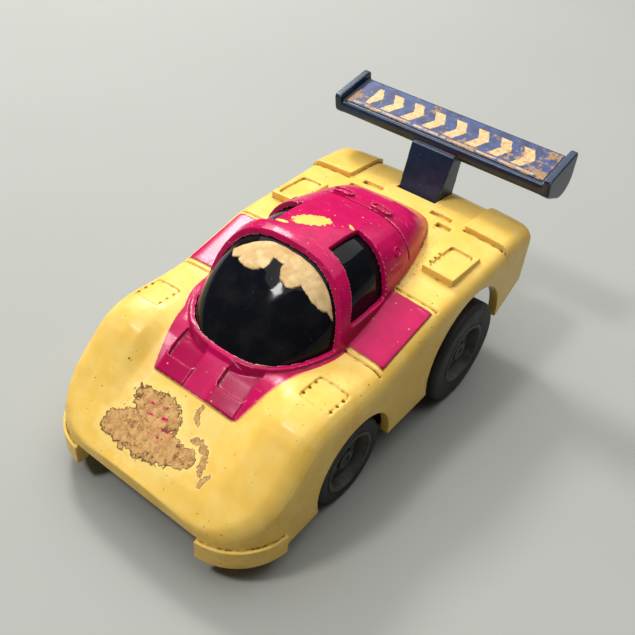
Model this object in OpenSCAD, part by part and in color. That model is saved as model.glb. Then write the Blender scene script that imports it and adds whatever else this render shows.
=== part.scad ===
// Pull-back toy racing car: a moulded body on a chassis that carries a spring motor.
// The car points towards -Y with +X on its left, and the ground is z = 0.
// Stations are distances behind the nose.

/* [Body] */
// Length of the body from nose to tail
body_length = 50.6; // [48:0.2:54]
// Width of the body across its sides
body_width = 28; // [26:0.5:31]
// Thickness of the moulded walls
wall = 1.1; // [0.9:0.05:1.4]
// Radius of the nose corners seen from above
nose_corner_r = 6.4; // [5:0.1:7.2]
// Radius of the tail corners seen from above
tail_corner_r = 1.6; // [1:0.1:2.5]
// Radius of the shoulders at the nose and over the front wheels
front_shoulder_r = 2.4; // [1.5:0.1:3]
// Radius of the shoulders over the rear wheels
rear_shoulder_r = 1.5; // [1:0.1:2.2]
// Rise of the middle of the top surface above its edges
crown = 0.4; // [0:0.05:0.8]
// Length over which a crease of the top line is softened
crease = 1.1; // [0.4:0.1:2]

/* [Top line] */
// Height of the nose's top edge
nose_z = 5.9; // [5.6:0.1:6.6]
// Length of the rounding behind the nose's edge
nose_round = 1.4; // [0.8:0.1:2]
// Station of the hood panel's front edge
hood_s = 8.1; // [7:0.1:9.5]
// Height of the hood panel's front edge
hood_z = 11.4; // [10.4:0.1:12.2]
// Station where the hood meets the windscreen
cowl_s = 12; // [11.4:0.1:13]
// Height of the hood there
cowl_z = 14; // [13.4:0.1:14.4]
// Station of the front fenders' crest
fender_s = 9.2; // [8.2:0.1:10.5]
// Rise of the front fenders' crest above the hood
fender_rise = 2; // [0.8:0.1:2.4]
// Station of the groove in front of the doors
door_s = 20; // [19:0.1:21.5]
// Height of the front of the doors
door_z = 14.5; // [14:0.1:15.2]
// Station of the groove behind the doors
deck_s = 29.6; // [28:0.1:31]
// Height of the rear deck behind the doors
deck_z = 16.4; // [15.8:0.1:17]
// Station of the rear deck's step
step_s = 43.4; // [42.6:0.1:44.5]
// Height of the rear deck at its step
step_z = 16.8; // [16.2:0.1:17.4]
// Height of the rear deck at the tail
tail_z = 16.3; // [15.6:0.1:17]
// Length of the rounding at the tail
tail_round = 0.8; // [0.5:0.1:1.4]

/* [Lower edge] */
// Height of the lower edge at the front corners
front_edge_z = 2.6; // [1.8:0.1:3.2]
// Height of the nose's lower edge between the corner pads
nose_edge_z = 5; // [4.6:0.1:5.4]
// Height of the sills between the wheels
sill_z = 4.7; // [4:0.1:5.5]
// Height of the lower edge just behind the rear wheels
skirt_z = 6.8; // [6:0.1:8]
// Height of the lower edge at the tail
tail_edge_z = 10.6; // [9:0.1:12]

/* [Corner pads] */
// How far the pads at the front corners stand proud
pad_proud = 0.35; // [0.2:0.05:0.6]
// Height of the pads' lower edge
pad_bottom_z = 2.4; // [1.6:0.1:3]
// Height of the pads' upper edge
pad_top_z = 4.8; // [4.2:0.1:5.4]
// Distance from the middle of the car to the inner end of each pad
pad_inner_x = 8.1; // [6:0.1:9]
// Station where the pads end on the sides
pad_back_s = 5.8; // [5:0.1:8]

/* [Canopy] */
// Station of the canopy's front
canopy_front_s = 10.5; // [9.8:0.1:11.5]
// Station where the canopy is widest
widest_s = 20.1; // [19:0.1:21]
// Station of the windscreen hoop at half its height
hoop_s = 20.3; // [19:0.1:21]
// How far the hoop leans back from its foot to the roof
hoop_lean = 2.9; // [2:0.1:5]
// Thickness of the canopy's frame
canopy_wall = 0.6; // [0.5:0.05:0.9]
// Station of the canopy's end on the rear deck
canopy_end_s = 42; // [40:0.1:43]
// Width of the canopy at its base
canopy_width = 17.6; // [16.4:0.1:18.4]
// Height of the roof
roof_z = 22.95; // [21.5:0.05:24]
// Station of the roof's highest point
crest_s = 22.5; // [21.8:0.1:24]
// Station where the roof starts to fall to the deck
roof_end_s = 37.2; // [35:0.1:38]
// Height of the roof there
roof_end_z = 20.9; // [20:0.1:21.6]
// Share of its width that the canopy loses towards its end
canopy_taper = 0.47; // [0.4:0.01:0.6]
// Squareness of the canopy's section
canopy_square = 2.65; // [2.2:0.05:3.2]
// Squareness of its section at the canopy's end
canopy_end_square = 3.6; // [2.6:0.1:4.2]
// Height of the roof's rear edge above the deck
roof_edge = 1.2; // [0.8:0.1:2]
// Depth of the canopy's root below the deck
canopy_root = 2; // [1.5:0.1:3]
// Station of the groove across the roof
roof_groove_s = 32.9; // [31:0.1:34]
// Width of the raised lip round the windscreen
lip_width = 0.55; // [0.3:0.05:0.9]
// Height of the raised lip round the windscreen
lip_height = 0.35; // [0.2:0.05:0.6]

/* [Windows] */
// Clearance between the window moulding and the body
glass_gap = 0.06; // [0.03:0.01:0.15]
// Thickness of the window moulding
glass_thickness = 0.8; // [0.6:0.05:1.1]
// Station of the side window's lower front corner
window_front_s = 21.2; // [20.6:0.1:22]
// Length of the side window's lower edge
window_length = 6.2; // [4.8:0.1:6.6]
// How far the side window's front edge leans back
window_lean = 2.7; // [1.8:0.1:3.2]
// How far the side window's rear edge leans back
window_rear_lean = 1.2; // [0.6:0.1:1.8]
// Height of the side window's lower edge
window_bottom_z = 16.6; // [16.3:0.1:17.5]
// Distance from the middle of the roof to the side window's upper edge
window_top_x = 3.5; // [3:0.1:5]
// Radius of the side window's corners
window_corner_r = 0.45; // [0.2:0.05:0.9]

/* [Deck details] */
// Width of the moulded grooves
groove_width = 0.3; // [0.2:0.05:0.5]
// Depth of the moulded grooves
groove_depth = 0.25; // [0.15:0.05:0.4]
// Distance from the body's side to the ends of the grooves
groove_margin = 0.7; // [0.4:0.05:1.2]
// Depth of the hood pockets
pocket_depth = 0.35; // [0.2:0.05:0.5]
// Height of the hood's front panels and of the door panels
panel_height = 0.15; // [0.1:0.05:0.3]
// Distance from the body's side to the door panels
door_margin = 1; // [0.7:0.05:1.6]
// Length of the hood's front panels
hood_panel_length = 1.5; // [1:0.1:2]
// Width of the notches in the louvre panels and deck scoops
notch_width = 0.35; // [0.3:0.05:0.6]
// Spacing of those notches
notch_pitch = 0.95; // [0.8:0.05:1]
// Distance from the body's side to the louvre panels
louvre_margin = 1.25; // [1:0.05:2]
// Width of a louvre panel
louvre_width = 3.55; // [2.8:0.05:4]
// Station of the louvre panels' front
louvre_s = 12.4; // [12:0.1:13]
// Length of a louvre panel
louvre_length = 3.4; // [2.6:0.1:4.5]
// Depth of the louvre panels
louvre_depth = 0.2; // [0.1:0.05:0.4]
// Half width of the hood's raised centre strip
hood_strip = 1.5; // [1:0.1:2.2]
// Half width of the hood between the fenders
hood_half = 5.3; // [4.8:0.1:6]
// Distance from the middle of the car to the full height of the fenders
fender_x = 9.5; // [8:0.1:10.5]
// Distance from the body's side to the deck scoops
scoop_margin = 1.6; // [1.2:0.05:2.2]
// Width of a deck scoop
scoop_width = 3.9; // [3.2:0.1:4.4]
// Station of the deck scoops' front
scoop_s = 33.7; // [32:0.1:35]
// Length of a deck scoop
scoop_length = 5.9; // [4.5:0.1:7]
// Height of a deck scoop's front
scoop_height = 0.85; // [0.5:0.05:1.3]
// Height of a deck scoop's rear
scoop_rear_height = 0.5; // [0.3:0.05:0.9]
// Width of the rim round a deck scoop's pocket
scoop_rim = 0.55; // [0.4:0.05:0.9]
// Depth of a deck scoop's pocket
scoop_depth = 0.3; // [0.2:0.05:0.45]
// Width of the rear corner blocks
block_width = 6; // [4.5:0.1:7]
// Height of the rear corner blocks above the deck
block_height = 0.55; // [0.3:0.05:0.8]
// Length of the slots between the canopy and the corner blocks
slot_length = 2.8; // [2:0.1:3.4]
// Width of those slots
slot_width = 0.85; // [0.4:0.05:1]
// Distance from the corner blocks to the slots
slot_inset = 0.9; // [0.6:0.05:1.2]
// Width of the roof vents
vent_width = 2.6; // [1.4:0.1:2.8]
// Distance from the middle of the roof to the middle of each vent
vent_x = 2.5; // [1.6:0.1:3]
// Length of the roof vents
vent_length = 1.3; // [0.8:0.1:1.8]
// Height of the roof vents
vent_height = 0.4; // [0.2:0.05:0.6]

/* [Rear wing] */
// Span of the wing over its end plates
wing_span = 29.6; // [26:0.2:32]
// Chord of the wing blade
wing_chord = 6.4; // [5.5:0.1:7.5]
// Thickness of the wing blade
wing_thickness = 1.7; // [1:0.1:2.2]
// Angle at which the blade rises to the rear
wing_pitch = 11.7; // [4:0.1:16]
// Distance from the tail forward to the blade's leading edge
wing_setback = 2.3; // [1:0.1:3]
// Height of the blade's leading edge
wing_z = 23.1; // [21.5:0.1:25]
// Thickness of the end plates
endplate_thickness = 0.9; // [0.7:0.1:1.6]
// Height of the end plates above the blade
endplate_rise = 0.9; // [0.4:0.1:1.6]
// Depth of the end plates below the blade
endplate_drop = 0.2; // [0:0.1:1]
// Height of the end plates at the trailing edge
endplate_rear = 1.1; // [0.9:0.1:2]
// How far the end plates reach beyond the blade's edges
endplate_ahead = 0.1; // [0:0.05:0.4]
// Radius of the end plates' edges
endplate_r = 0.4; // [0.2:0.05:0.45]
// Radius of the end plates' lower front corners
endplate_front_r = 1; // [0.5:0.1:1.1]
// Depth of the end plates' round belly below the blade's upper face
endplate_depth = 3.8; // [2.8:0.1:4.2]
// Radius of the end plates' belly
endplate_belly_r = 2.2; // [1.4:0.1:2.3]
// Distance from the leading edge back to the middle of the belly
endplate_belly = 4; // [3.2:0.1:4.2]
// Thickness of the wing's label
label_thickness = 0.1; // [0.06:0.02:0.16]
// Border of bare blade round the label
label_border = 0.45; // [0.3:0.05:1]
// Distance from the tail forward to the strut's front
strut_setback = 4.9; // [4.4:0.1:5.4]
// Width of the strut at the deck
strut_width = 5.3; // [4:0.1:6]
// Depth of the strut at the deck, front to rear
strut_depth = 4.3; // [3.4:0.1:4.5]
// Widening of the strut at the blade
strut_flare = 0.6; // [0:0.1:1.2]
// How far the strut's front leans back at the blade
strut_lean = 2.3; // [1.5:0.1:2.8]
// Depth of the seat that the strut stands in
strut_seat = 0.4; // [0.2:0.05:0.6]
// Size of the strut's square peg
peg_size = 2.6; // [2:0.1:3.2]
// Length of the strut's peg below its seat
peg_length = 2; // [1.4:0.1:2.6]

/* [Wheels] */
// Station of the front axle
front_axle_s = 16.3; // [15.8:0.1:17]
// Distance between the axles
wheelbase = 20.4; // [19.6:0.1:21.6]
// Radius of the front tyres
front_tyre_r = 5; // [4.6:0.05:5.4]
// Width of the front tyres
front_tyre_w = 4.4; // [3.6:0.1:5]
// Radius of the front hubs
front_rim_r = 3.5; // [3:0.05:3.8]
// How far the front wheels sit inside the body's sides
front_wheel_inset = 0.5; // [0:0.05:1]
// Radius of the rear tyres
rear_tyre_r = 6.25; // [5.9:0.05:6.5]
// Width of the rear tyres
rear_tyre_w = 6; // [5:0.1:6.6]
// Radius of the rear hubs
rear_rim_r = 3.7; // [3.2:0.05:4.4]
// How far the rear wheels stand outside the body's sides
rear_wheel_proud = 0.35; // [0:0.05:0.7]
// Radius of a tyre's outer corners
tyre_corner_r = 0.9; // [0.5:0.05:1.2]
// Room between the front tyres and their arches
front_arch_gap = 0.9; // [0.6:0.05:1.3]
// Room between the rear tyres and their arches
rear_arch_gap = 1.25; // [0.8:0.05:1.6]
// Height of the rear arches' middle above the axle
rear_arch_lift = 0.9; // [0:0.1:1.2]
// Depth of the hubs' dish
dish_depth = 1.1; // [0.7:0.1:1.3]
// Width of the lip round a hub's dish
rim_lip = 0.35; // [0.25:0.05:0.6]
// Radius of the boss in the middle of a hub
boss_r = 1.15; // [1:0.05:1.5]
// Radius of the collars behind the hubs
collar_r = 1.5; // [1.2:0.05:2]
// Radius of the steel axles
axle_r = 0.75; // [0.6:0.05:0.9]
// Distance from a hub's face to the axle's end
axle_end = 1.7; // [1.6:0.1:2.4]

/* [Chassis] */
// Thickness of the chassis plate
chassis_thickness = 1; // [0.8:0.05:1.3]
// Room between the chassis and the wheels
wheel_room = 0.7; // [0.5:0.05:1]
// Room between the chassis and the body's walls
body_room = 0.5; // [0.3:0.05:0.8]
// Width of the front axle's bearing blocks
bearing_width = 2; // [1.4:0.1:2.6]
// Wall round the front axle in its bearing blocks
bearing_wall = 0.9; // [0.6:0.05:1.2]
// Radius of the body's posts
post_r = 1.2; // [1:0.05:1.5]
// Radius of the spigots under the posts
spigot_r = 0.7; // [0.5:0.05:0.9]
// Distance from the middle of the car to the front posts
front_post_x = 5; // [4:0.1:6]
// Station of the front posts
front_post_s = 6.6; // [6:0.1:7.6]
// Running clearance of shafts and pins in their holes
running_gap = 0.05; // [0.03:0.01:0.08]
// Clearance of pieces that are placed in each other
fit_gap = 0.08; // [0.05:0.01:0.15]

/* [Spring motor] */
// Module of the gears
gear_module = 0.35; // [0.32:0.01:0.37]
// Teeth of the axle pinion and of the step-up pinion
pinion_teeth = 9; // [9:1:10]
// Teeth of the floating clutch gear
clutch_teeth = 16; // [15:1:17]
// Teeth of the step-up wheel
step_up_teeth = 18; // [17:1:19]
// Teeth of the spring gear
spring_teeth = 26; // [24:1:27]
// Thinning of each tooth that leaves backlash
backlash = 0.05; // [0.03:0.01:0.07]
// Face width of the wheels
gear_face = 1.4; // [1.1:0.1:1.7]
// Face width of the axle pinion
pinion_face = 1.8; // [1.4:0.1:2.2]
// Height of the mainspring's strip
spring_height = 2.6; // [2:0.1:3]
// Thickness of the mainspring's strip
spring_thickness = 0.2; // [0.15:0.01:0.25]
// Turns of the mainspring
spring_turns = 6; // [4:0.5:7]
// Gap between neighbouring gear layers
layer_gap = 0.3; // [0.2:0.05:0.4]
// Room between the gears and the case
case_gap = 0.2; // [0.15:0.05:0.3]
// Wall of the motor's case
case_wall = 0.7; // [0.6:0.05:0.9]
// Radius of the spring gear's arbor
arbor_r = 0.9; // [0.8:0.05:1.1]
// Radius of the pins of the clutch and step-up gears
pin_r = 0.6; // [0.5:0.05:0.65]
// Travel of the clutch pin in its slots
clutch_travel = 0.8; // [0.7:0.05:0.9]
// Direction from the rear axle to the clutch gear
clutch_angle = 16; // [12:1:20]
// Direction from the clutch gear to the step-up gear
step_up_angle = 148; // [146:1:150]
// Direction from the step-up gear to the spring gear
spring_angle = 192; // [188:1:196]
// Length of the case's ears on the chassis
ear_length = 1.4; // [1:0.1:1.8]
// Thickness of the case's ears
ear_thickness = 0.9; // [0.7:0.05:1.2]
// Width of the case's ears
ear_width = 7; // [5:0.5:8]

/* [Hidden] */
$fn = 48;
left = 1;
right = -1;
far = 60;

// Wheels
front_axle_z = front_tyre_r;
rear_axle_z = rear_tyre_r;
rear_axle_s = front_axle_s + wheelbase;
front_arch_r = front_tyre_r + front_arch_gap;
rear_arch_r = rear_tyre_r + rear_arch_gap;
front_wheel_x = body_width / 2 - front_wheel_inset;
rear_wheel_x = body_width / 2 + rear_wheel_proud;
front_wheel_in = front_wheel_x - front_tyre_w;
rear_wheel_in = rear_wheel_x - rear_tyre_w;

// Gear train, in the plane of station and height
pressure_angle = 20;
wheel_addendum = 0.6;
pinion_addendum = 0.9;
root_room = 0.25;
function toward(angle) = [cos(angle), sin(angle)];
function pitch_r(teeth) = gear_module * teeth / 2;
pinion_out = pitch_r(pinion_teeth) + pinion_addendum * gear_module;
clutch_out = pitch_r(clutch_teeth) + wheel_addendum * gear_module;
step_up_out = pitch_r(step_up_teeth) + wheel_addendum * gear_module;
spring_out = pitch_r(spring_teeth) + wheel_addendum * gear_module;
axle_c = [rear_axle_s, rear_axle_z];
clutch_c = axle_c + (pitch_r(pinion_teeth) + pitch_r(clutch_teeth)) * toward(clutch_angle);
step_up_c = clutch_c + (pitch_r(clutch_teeth) + pitch_r(step_up_teeth)) * toward(step_up_angle);
spring_c = step_up_c + (pitch_r(pinion_teeth) + pitch_r(spring_teeth)) * toward(spring_angle);
// The clutch pin leaves along the line that halves the angle between its two neighbours
slide_angle = (clutch_angle + 180 + step_up_angle) / 2 + 180;
// A gear's first tooth points so that it meets a gap of the gear before it
function meshed(phase, teeth, next_teeth, angle) =
    angle + 180 - (phase - angle) * teeth / next_teeth + 180 / next_teeth;
clutch_phase = meshed(0, pinion_teeth, clutch_teeth, clutch_angle);
step_up_phase = meshed(clutch_phase, clutch_teeth, step_up_teeth, step_up_angle);
spring_phase = meshed(step_up_phase, pinion_teeth, spring_teeth, spring_angle);

// Gear layers across the case, from the right wall to the left
stack = spring_height + 2 * gear_face + pinion_face + 3 * layer_gap + 2 * case_gap;
case_in = stack / 2;
case_out = case_in + case_wall;
spring_x = -case_in + case_gap;
spring_gear_x = spring_x + spring_height + layer_gap;
step_up_x = spring_gear_x + gear_face + layer_gap;
axle_pinion_x = step_up_x + gear_face + layer_gap;
split_x = spring_gear_x + gear_face + layer_gap / 2;

// Case outline
margin = case_gap + case_wall;
case_front = spring_c.x - spring_out - margin;
case_rear = clutch_c.x + clutch_out + clutch_travel + margin;
case_high_rear = step_up_c.x + step_up_out + margin;
case_bottom = min(rear_axle_z - pinion_out, spring_c.y - spring_out, clutch_c.y - clutch_out) - margin;
case_top = max(step_up_c.y + step_up_out, spring_c.y + spring_out) + margin;
case_step = clutch_c.y + clutch_out + margin;

// Chassis
motor_lift = 0.1;
chassis_z = case_bottom - motor_lift;
chassis_top = chassis_z + chassis_thickness;
chassis_front = 2 * wall + body_room + pad_proud;
chassis_rear = case_rear + ear_length + wall;
front_half = front_wheel_in - wheel_room;
rear_half = rear_wheel_in - wheel_room;
mid_half = body_width / 2 - wall - body_room;
mid_front_s = front_axle_s + front_tyre_r + wheel_room;
mid_rear_s = rear_axle_s - rear_tyre_r - wheel_room;
nose_rear_s = front_axle_s - front_tyre_r - wheel_room;
bearing_x = front_half - bearing_width;
mid_post_x = mid_half - post_r - body_room;
mid_post_s = (mid_front_s + mid_rear_s) / 2;

// Wing
wing_s = body_length - wing_setback;
strut_s = body_length - strut_setback;
blade_r = wing_thickness / 3;
plate_rear_low = endplate_rise - endplate_rear;
// Reach behind the leading edge of a rounded lower rear corner at u, v of the blade
function reach(u, v, r) = (u - r) * cos(wing_pitch) - (v + r) * sin(wing_pitch) + r;
wing_rear = wing_s + max(reach(wing_chord, -wing_thickness, blade_r),
                         reach(wing_chord + endplate_ahead, plate_rear_low, endplate_r),
                         reach(endplate_belly + endplate_belly_r, -endplate_depth, endplate_belly_r));

// The middle of the overall length lies over the origin
middle = (wing_rear - pad_proud) / 2;

// Curves that shape the body
function soft(line, s, reach) =
    (lookup(s - reach, line) + 2 * lookup(s - reach / 2, line) + 2 * lookup(s, line)
     + 2 * lookup(s + reach / 2, line) + lookup(s + reach, line)) / 8;
function corner_inset(depth, r) = depth >= r ? 0 : r - sqrt(max(0, r * r - pow(r - depth, 2)));
top_line = [
    [0, nose_z], [nose_round, nose_z + nose_round], [hood_s, hood_z], [cowl_s, cowl_z],
    [door_s, door_z], [deck_s, deck_z], [step_s, step_z],
    [body_length - tail_round, tail_z], [body_length, tail_z - tail_round]
];
function top_z(s) = soft(top_line, s, crease);
rise_line = [[fender_s - 6.6, 0], [fender_s, 1], [fender_s + 3, 0.4], [door_s, 0]];
function rise(s) = fender_rise * soft(rise_line, s, crease);
// Share of the fender's rise that a point of the top surface has, from the hood out to the fender
function fender_share(x) =
    let (k = max(0, min(1, (x - hood_half) / (fender_x - hood_half)))) k * k * (3 - 2 * k);
bottom_line = [
    [0, front_edge_z], [front_axle_s - front_arch_r, front_edge_z + 0.4],
    [front_axle_s + front_arch_r, sill_z], [rear_axle_s - rear_arch_r, sill_z],
    [rear_axle_s + rear_arch_r, skirt_z], [body_length, tail_edge_z]
];
shoulder_line = [
    [0, front_shoulder_r / 2], [nose_corner_r, front_shoulder_r], [front_axle_s, front_shoulder_r],
    [deck_s, rear_shoulder_r]
];
function half_width(s, inset) =
    body_width / 2 - inset - corner_inset(s - inset, nose_corner_r - inset)
    - corner_inset(body_length - inset - s, max(tail_corner_r - inset, 0.1));

strut_foot = min(top_z(strut_s), top_z(strut_s + strut_depth)) - strut_seat;

// Rings of the body's skin, drawn in by an inset and raised by a lift
function body_ring(s, inset, lift, drop) =
    let (w = half_width(s, inset),
         middle_z = top_z(s) - inset + lift,
         edge_z = middle_z + rise(s),
         bottom = lookup(s, bottom_line) - drop,
         r = max(0.3, min(lookup(s, shoulder_line) - inset, edge_z - bottom - 0.1)),
         flat = w - r,
         arcs = inset > 0 ? 3 : 5,
         spans = inset > 0 ? 5 : 7,
         shoulder = [for (i = [0:arcs])
                         let (a = 90 * i / arcs) [flat + r * cos(a), edge_z - r + r * sin(a)]],
         span = [for (i = [1:spans])
                     let (k = 1 - i / spans)
                     [flat * k, middle_z + rise(s) * fender_share(flat * k) + crown * (1 - k * k)]],
         side = concat([[w, bottom]], shoulder, span))
    concat([for (p = side) [p.x, s, p.y]],
           [for (i = [len(side) - 2:-1:0]) [-side[i].x, s, side[i].y]]);
// Stations are closer where the top line bends
function run(from, to, steps) = [for (i = [1:steps]) from + (to - from) * i / steps];
function body_stations(inset) =
    let (inner = body_length - 2 * inset,
         all = concat([for (a = [0:15:90]) nose_corner_r * (1 - cos(a))],
                      run(nose_corner_r, cowl_s + 2, 8), run(cowl_s + 2, door_s + 2, 5),
                      run(door_s + 2, deck_s - 2, 3), run(deck_s - 2, deck_s + 2, 4),
                      run(deck_s + 2, step_s - 2, 4), run(step_s - 2, body_length - tail_corner_r, 6),
                      [for (a = [18:18:90]) body_length - tail_corner_r * (1 - sin(a))]))
    [for (s = all) inset + s * inner / body_length];

// Curves that shape the canopy
canopy_half = canopy_width / 2;
roof_edge_s = canopy_end_s - canopy_wall;
roof_edge_z = step_z + roof_edge;
roof_line = [
    [crest_s, roof_z], [crest_s + 4, roof_z - 0.1], [roof_end_s, roof_end_z],
    [roof_edge_s, roof_edge_z], [canopy_end_s, roof_edge_z - roof_edge / 2]
];
// Station of the hoop's front at a height
function hoop_at(z) = hoop_s + hoop_lean * ((z - door_z) / (roof_z - door_z) - 0.5);
// Share of the way from the widest place to the end
function canopy_way(s) = max(0, (s - widest_s) / (canopy_end_s - widest_s));
function canopy_base(s) = top_z(s) - canopy_root;
function canopy_side(s, inset) =
    let (front = canopy_front_s + inset,
         t = (widest_s - s) / (widest_s - front))
    s < widest_s ? (canopy_half - inset) * sqrt(max(0, 1 - t * t))
                 : canopy_half * (1 - canopy_taper * pow(canopy_way(s), 2.2)) - inset;
function canopy_top(s, inset) =
    let (front = canopy_front_s + inset,
         root = canopy_base(front),
         t = (crest_s - s) / (crest_s - front))
    s < crest_s ? root + (roof_z - inset - root) * pow(max(0, 1 - pow(t, 1.5)), 2 / 3)
                : soft(roof_line, s, crease) - inset;
canopy_steps = 20;
function canopy_ring(s, inset, drop) =
    let (b = canopy_side(s, inset),
         root = canopy_base(s),
         h = max(0.2, canopy_top(s, inset) - root),
         n = 2 / (canopy_square + (canopy_end_square - canopy_square) * canopy_way(s)),
         arch = [for (i = [0:canopy_steps])
                     let (a = 180 * i / canopy_steps)
                     [b * sign(cos(a)) * pow(abs(cos(a)), n), s, root + h * pow(abs(sin(a)), n)]])
    drop > 0 ? concat([[b, s, root - drop]], arch, [[-b, s, root - drop]]) : arch;
function canopy_stations(inset, end) =
    let (front = canopy_front_s + inset, steps = 18)
    concat([for (a = [9:9:90]) front + (widest_s - front) * (1 - cos(a))],
           [for (i = [1:steps]) widest_s + (end - widest_s) * i / steps]);

// Puts a piece drawn in stations into the car's frame
module placed() {
    translate([0, -middle, 0]) children();
}

// Both sides of the car
module both_sides() {
    children();
    mirror([1, 0, 0]) children();
}

// Extrudes an outline of station and height across the car, from x0 to x1
module across(x0, x1) {
    translate([x0, 0, 0]) rotate([90, 0, 90]) linear_extrude(x1 - x0) children();
}

// A round rod across the car
module rod(centre, r, x0, x1) {
    translate([x0, centre.x, centre.y]) rotate([0, 90, 0]) cylinder(r = r, h = x1 - x0);
}

// A box given by its two corners
module block(low, high) {
    translate(low) cube(high - low);
}

// A block with rounded corners seen from above
module soft_block(low, high, r) {
    hull()
        for (x = [low.x + r, high.x - r], y = [low.y + r, high.y - r])
            translate([x, y, low.z]) cylinder(r = r, h = high.z - low.z, $fn = 24);
}

// Skins rings into a closed solid
module skin(rings) {
    n = len(rings[0]);
    last = (len(rings) - 1) * n;
    sides = [for (i = [0:len(rings) - 2], j = [0:n - 1])
                 let (a = i * n + j, b = i * n + (j + 1) % n)
                 each [[a, b, b + n], [a, b + n, a + n]]];
    caps = [[for (j = [n - 1:-1:0]) j], [for (j = [0:n - 1]) last + j]];
    polyhedron([for (ring = rings) each ring], concat(sides, caps));
}

module body_solid(inset = 0, lift = 0, drop = 0) {
    skin([for (s = body_stations(inset)) body_ring(s, inset, lift, drop)]);
}

module canopy_solid(inset = 0, drop = 0, end = canopy_end_s) {
    skin([for (s = canopy_stations(inset, end - inset)) canopy_ring(s, inset, drop)]);
}

// What its children take off the top surface, down to a depth
module sunk(depth) {
    difference() {
        children();
        body_solid(lift = -depth, drop = far);
    }
}

// What its children add to the top surface, up to a height
module raised(height) {
    intersection() {
        children();
        body_solid(lift = height);
    }
}

// Louvre panels, hood pockets, grooves and slots
module deck_cuts() {
    louvre_x = body_width / 2 - louvre_margin;
    block_x = body_width / 2 - block_width;
    groove_end_x = body_width / 2 - groove_margin;
    top = roof_z;
    both_sides() {
        sunk(louvre_depth)
            soft_block([louvre_x - louvre_width, louvre_s, 0],
                       [louvre_x, louvre_s + louvre_length, top], groove_width);
        sunk(pocket_depth)
            soft_block([hood_strip, hood_s + hood_panel_length, 0],
                       [hood_half - groove_width, canopy_front_s + canopy_wall + 2, top], groove_width);
        sunk(louvre_depth + groove_depth)
            for (i = [0.5:2.5], x = [louvre_x - louvre_width, louvre_x - notch_width])
                block([x, louvre_s + i * notch_pitch, 0],
                      [x + notch_width, louvre_s + i * notch_pitch + notch_width, top]);
        sunk(groove_depth)
            block([canopy_half, door_s - groove_width / 2, 0],
                  [groove_end_x, door_s + groove_width / 2, top]);
        sunk(groove_depth)
            block([canopy_half - 1, deck_s - groove_width / 2, 0],
                  [groove_end_x, deck_s + groove_width / 2, top]);
        sunk(groove_depth)
            block([block_x, step_s - groove_width, 0],
                  [groove_end_x, step_s, top]);
        sunk(2 * groove_depth) {
            block([block_x - slot_length - 2 * slot_inset, step_s + 2.5 * groove_width - slot_width, 0],
                  [block_x - 2 * slot_inset, step_s + 2.5 * groove_width, top]);
            block([block_x - slot_length, step_s - slot_length / 2 + 1.5 * groove_width - slot_width, 0],
                  [block_x - slot_inset, step_s - slot_length / 2 + 1.5 * groove_width, top]);
        }
    }
}

// The wedge of a deck scoop, lowered by a depth
module scoop_wedge(depth = 0) {
    outer = body_width / 2 - scoop_margin;
    hull() {
        raised(scoop_height - depth)
            block([outer - scoop_width, scoop_s, step_z - 2],
                  [outer, scoop_s + scoop_rim, roof_z]);
        raised(scoop_rear_height - depth)
            block([outer - scoop_width, scoop_s + scoop_length - scoop_rim, step_z - 2],
                  [outer, scoop_s + scoop_length, roof_z]);
    }
}

// A deck scoop with its pocket and the notches in the pocket's inner wall
module scoop() {
    outer = body_width / 2 - scoop_margin;
    inner = outer - scoop_width + scoop_rim;
    difference() {
        scoop_wedge();
        difference() {
            union() {
                soft_block([inner, scoop_s + scoop_rim, step_z - 3],
                           [outer - scoop_rim, scoop_s + scoop_length - scoop_rim, roof_z], groove_width);
                for (i = [0.5:2.5])
                    translate([inner, scoop_s + scoop_rim + i * notch_pitch, 0])
                        block([-notch_width, 0, step_z - 3], [groove_width, notch_width, roof_z]);
            }
            scoop_wedge(scoop_depth);
        }
    }
}

// Raised hood and door panels, deck scoops that rise to the front, and the corner blocks of the tail
module deck_additions() {
    both_sides() {
        raised(panel_height) {
            block([hood_strip, hood_s, 0],
                  [hood_half - groove_width, hood_s + hood_panel_length + groove_width, roof_z]);
            soft_block([canopy_half - 2 * wall, door_s + 2 * groove_width, hood_z],
                       [body_width / 2 - door_margin, deck_s - 2 * groove_width, roof_z], 0.5);
        }
        scoop();
        raised(block_height)
            soft_block([body_width / 2 - block_width, step_s, step_z - 3],
                       [body_width / 2 + 2, body_length + 2, roof_z], 0.4);
    }
}

// Pads that wrap the front corners
module corner_pads() {
    r = nose_corner_r + pad_proud;
    half = body_width / 2 + pad_proud;
    height = pad_top_z - pad_bottom_z;
    both_sides()
        intersection() {
            hull() {
                translate([half - r, r - pad_proud, pad_bottom_z]) cylinder(r = r, h = height, $fn = 80);
                block([0, -pad_proud, pad_bottom_z], [half - r, r, pad_top_z]);
                block([half - r, r, pad_bottom_z], [half, 2 * r, pad_top_z]);
            }
            block([pad_inner_x, -1, 0], [far, pad_back_s, far]);
        }
}

// Outline of the side window, in station and height
module window_outline() {
    r = window_corner_r;
    top = roof_z + 1;
    rear_s = window_front_s + window_length;
    hull()
        for (edge = [[window_front_s + r, window_lean], [rear_s - r, window_rear_lean]]) {
            translate([edge.x, window_bottom_z + r]) circle(r = r, $fn = 24);
            translate([edge.x + edge.y, top]) circle(r = r, $fn = 24);
        }
}

// Raised lip round the foot of the windscreen
module windscreen_lip() {
    raised(lip_height)
        intersection() {
            canopy_solid(canopy_wall - lip_width);
            block([-far, 0, 0], [far, hoop_s, far]);
        }
}

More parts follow.
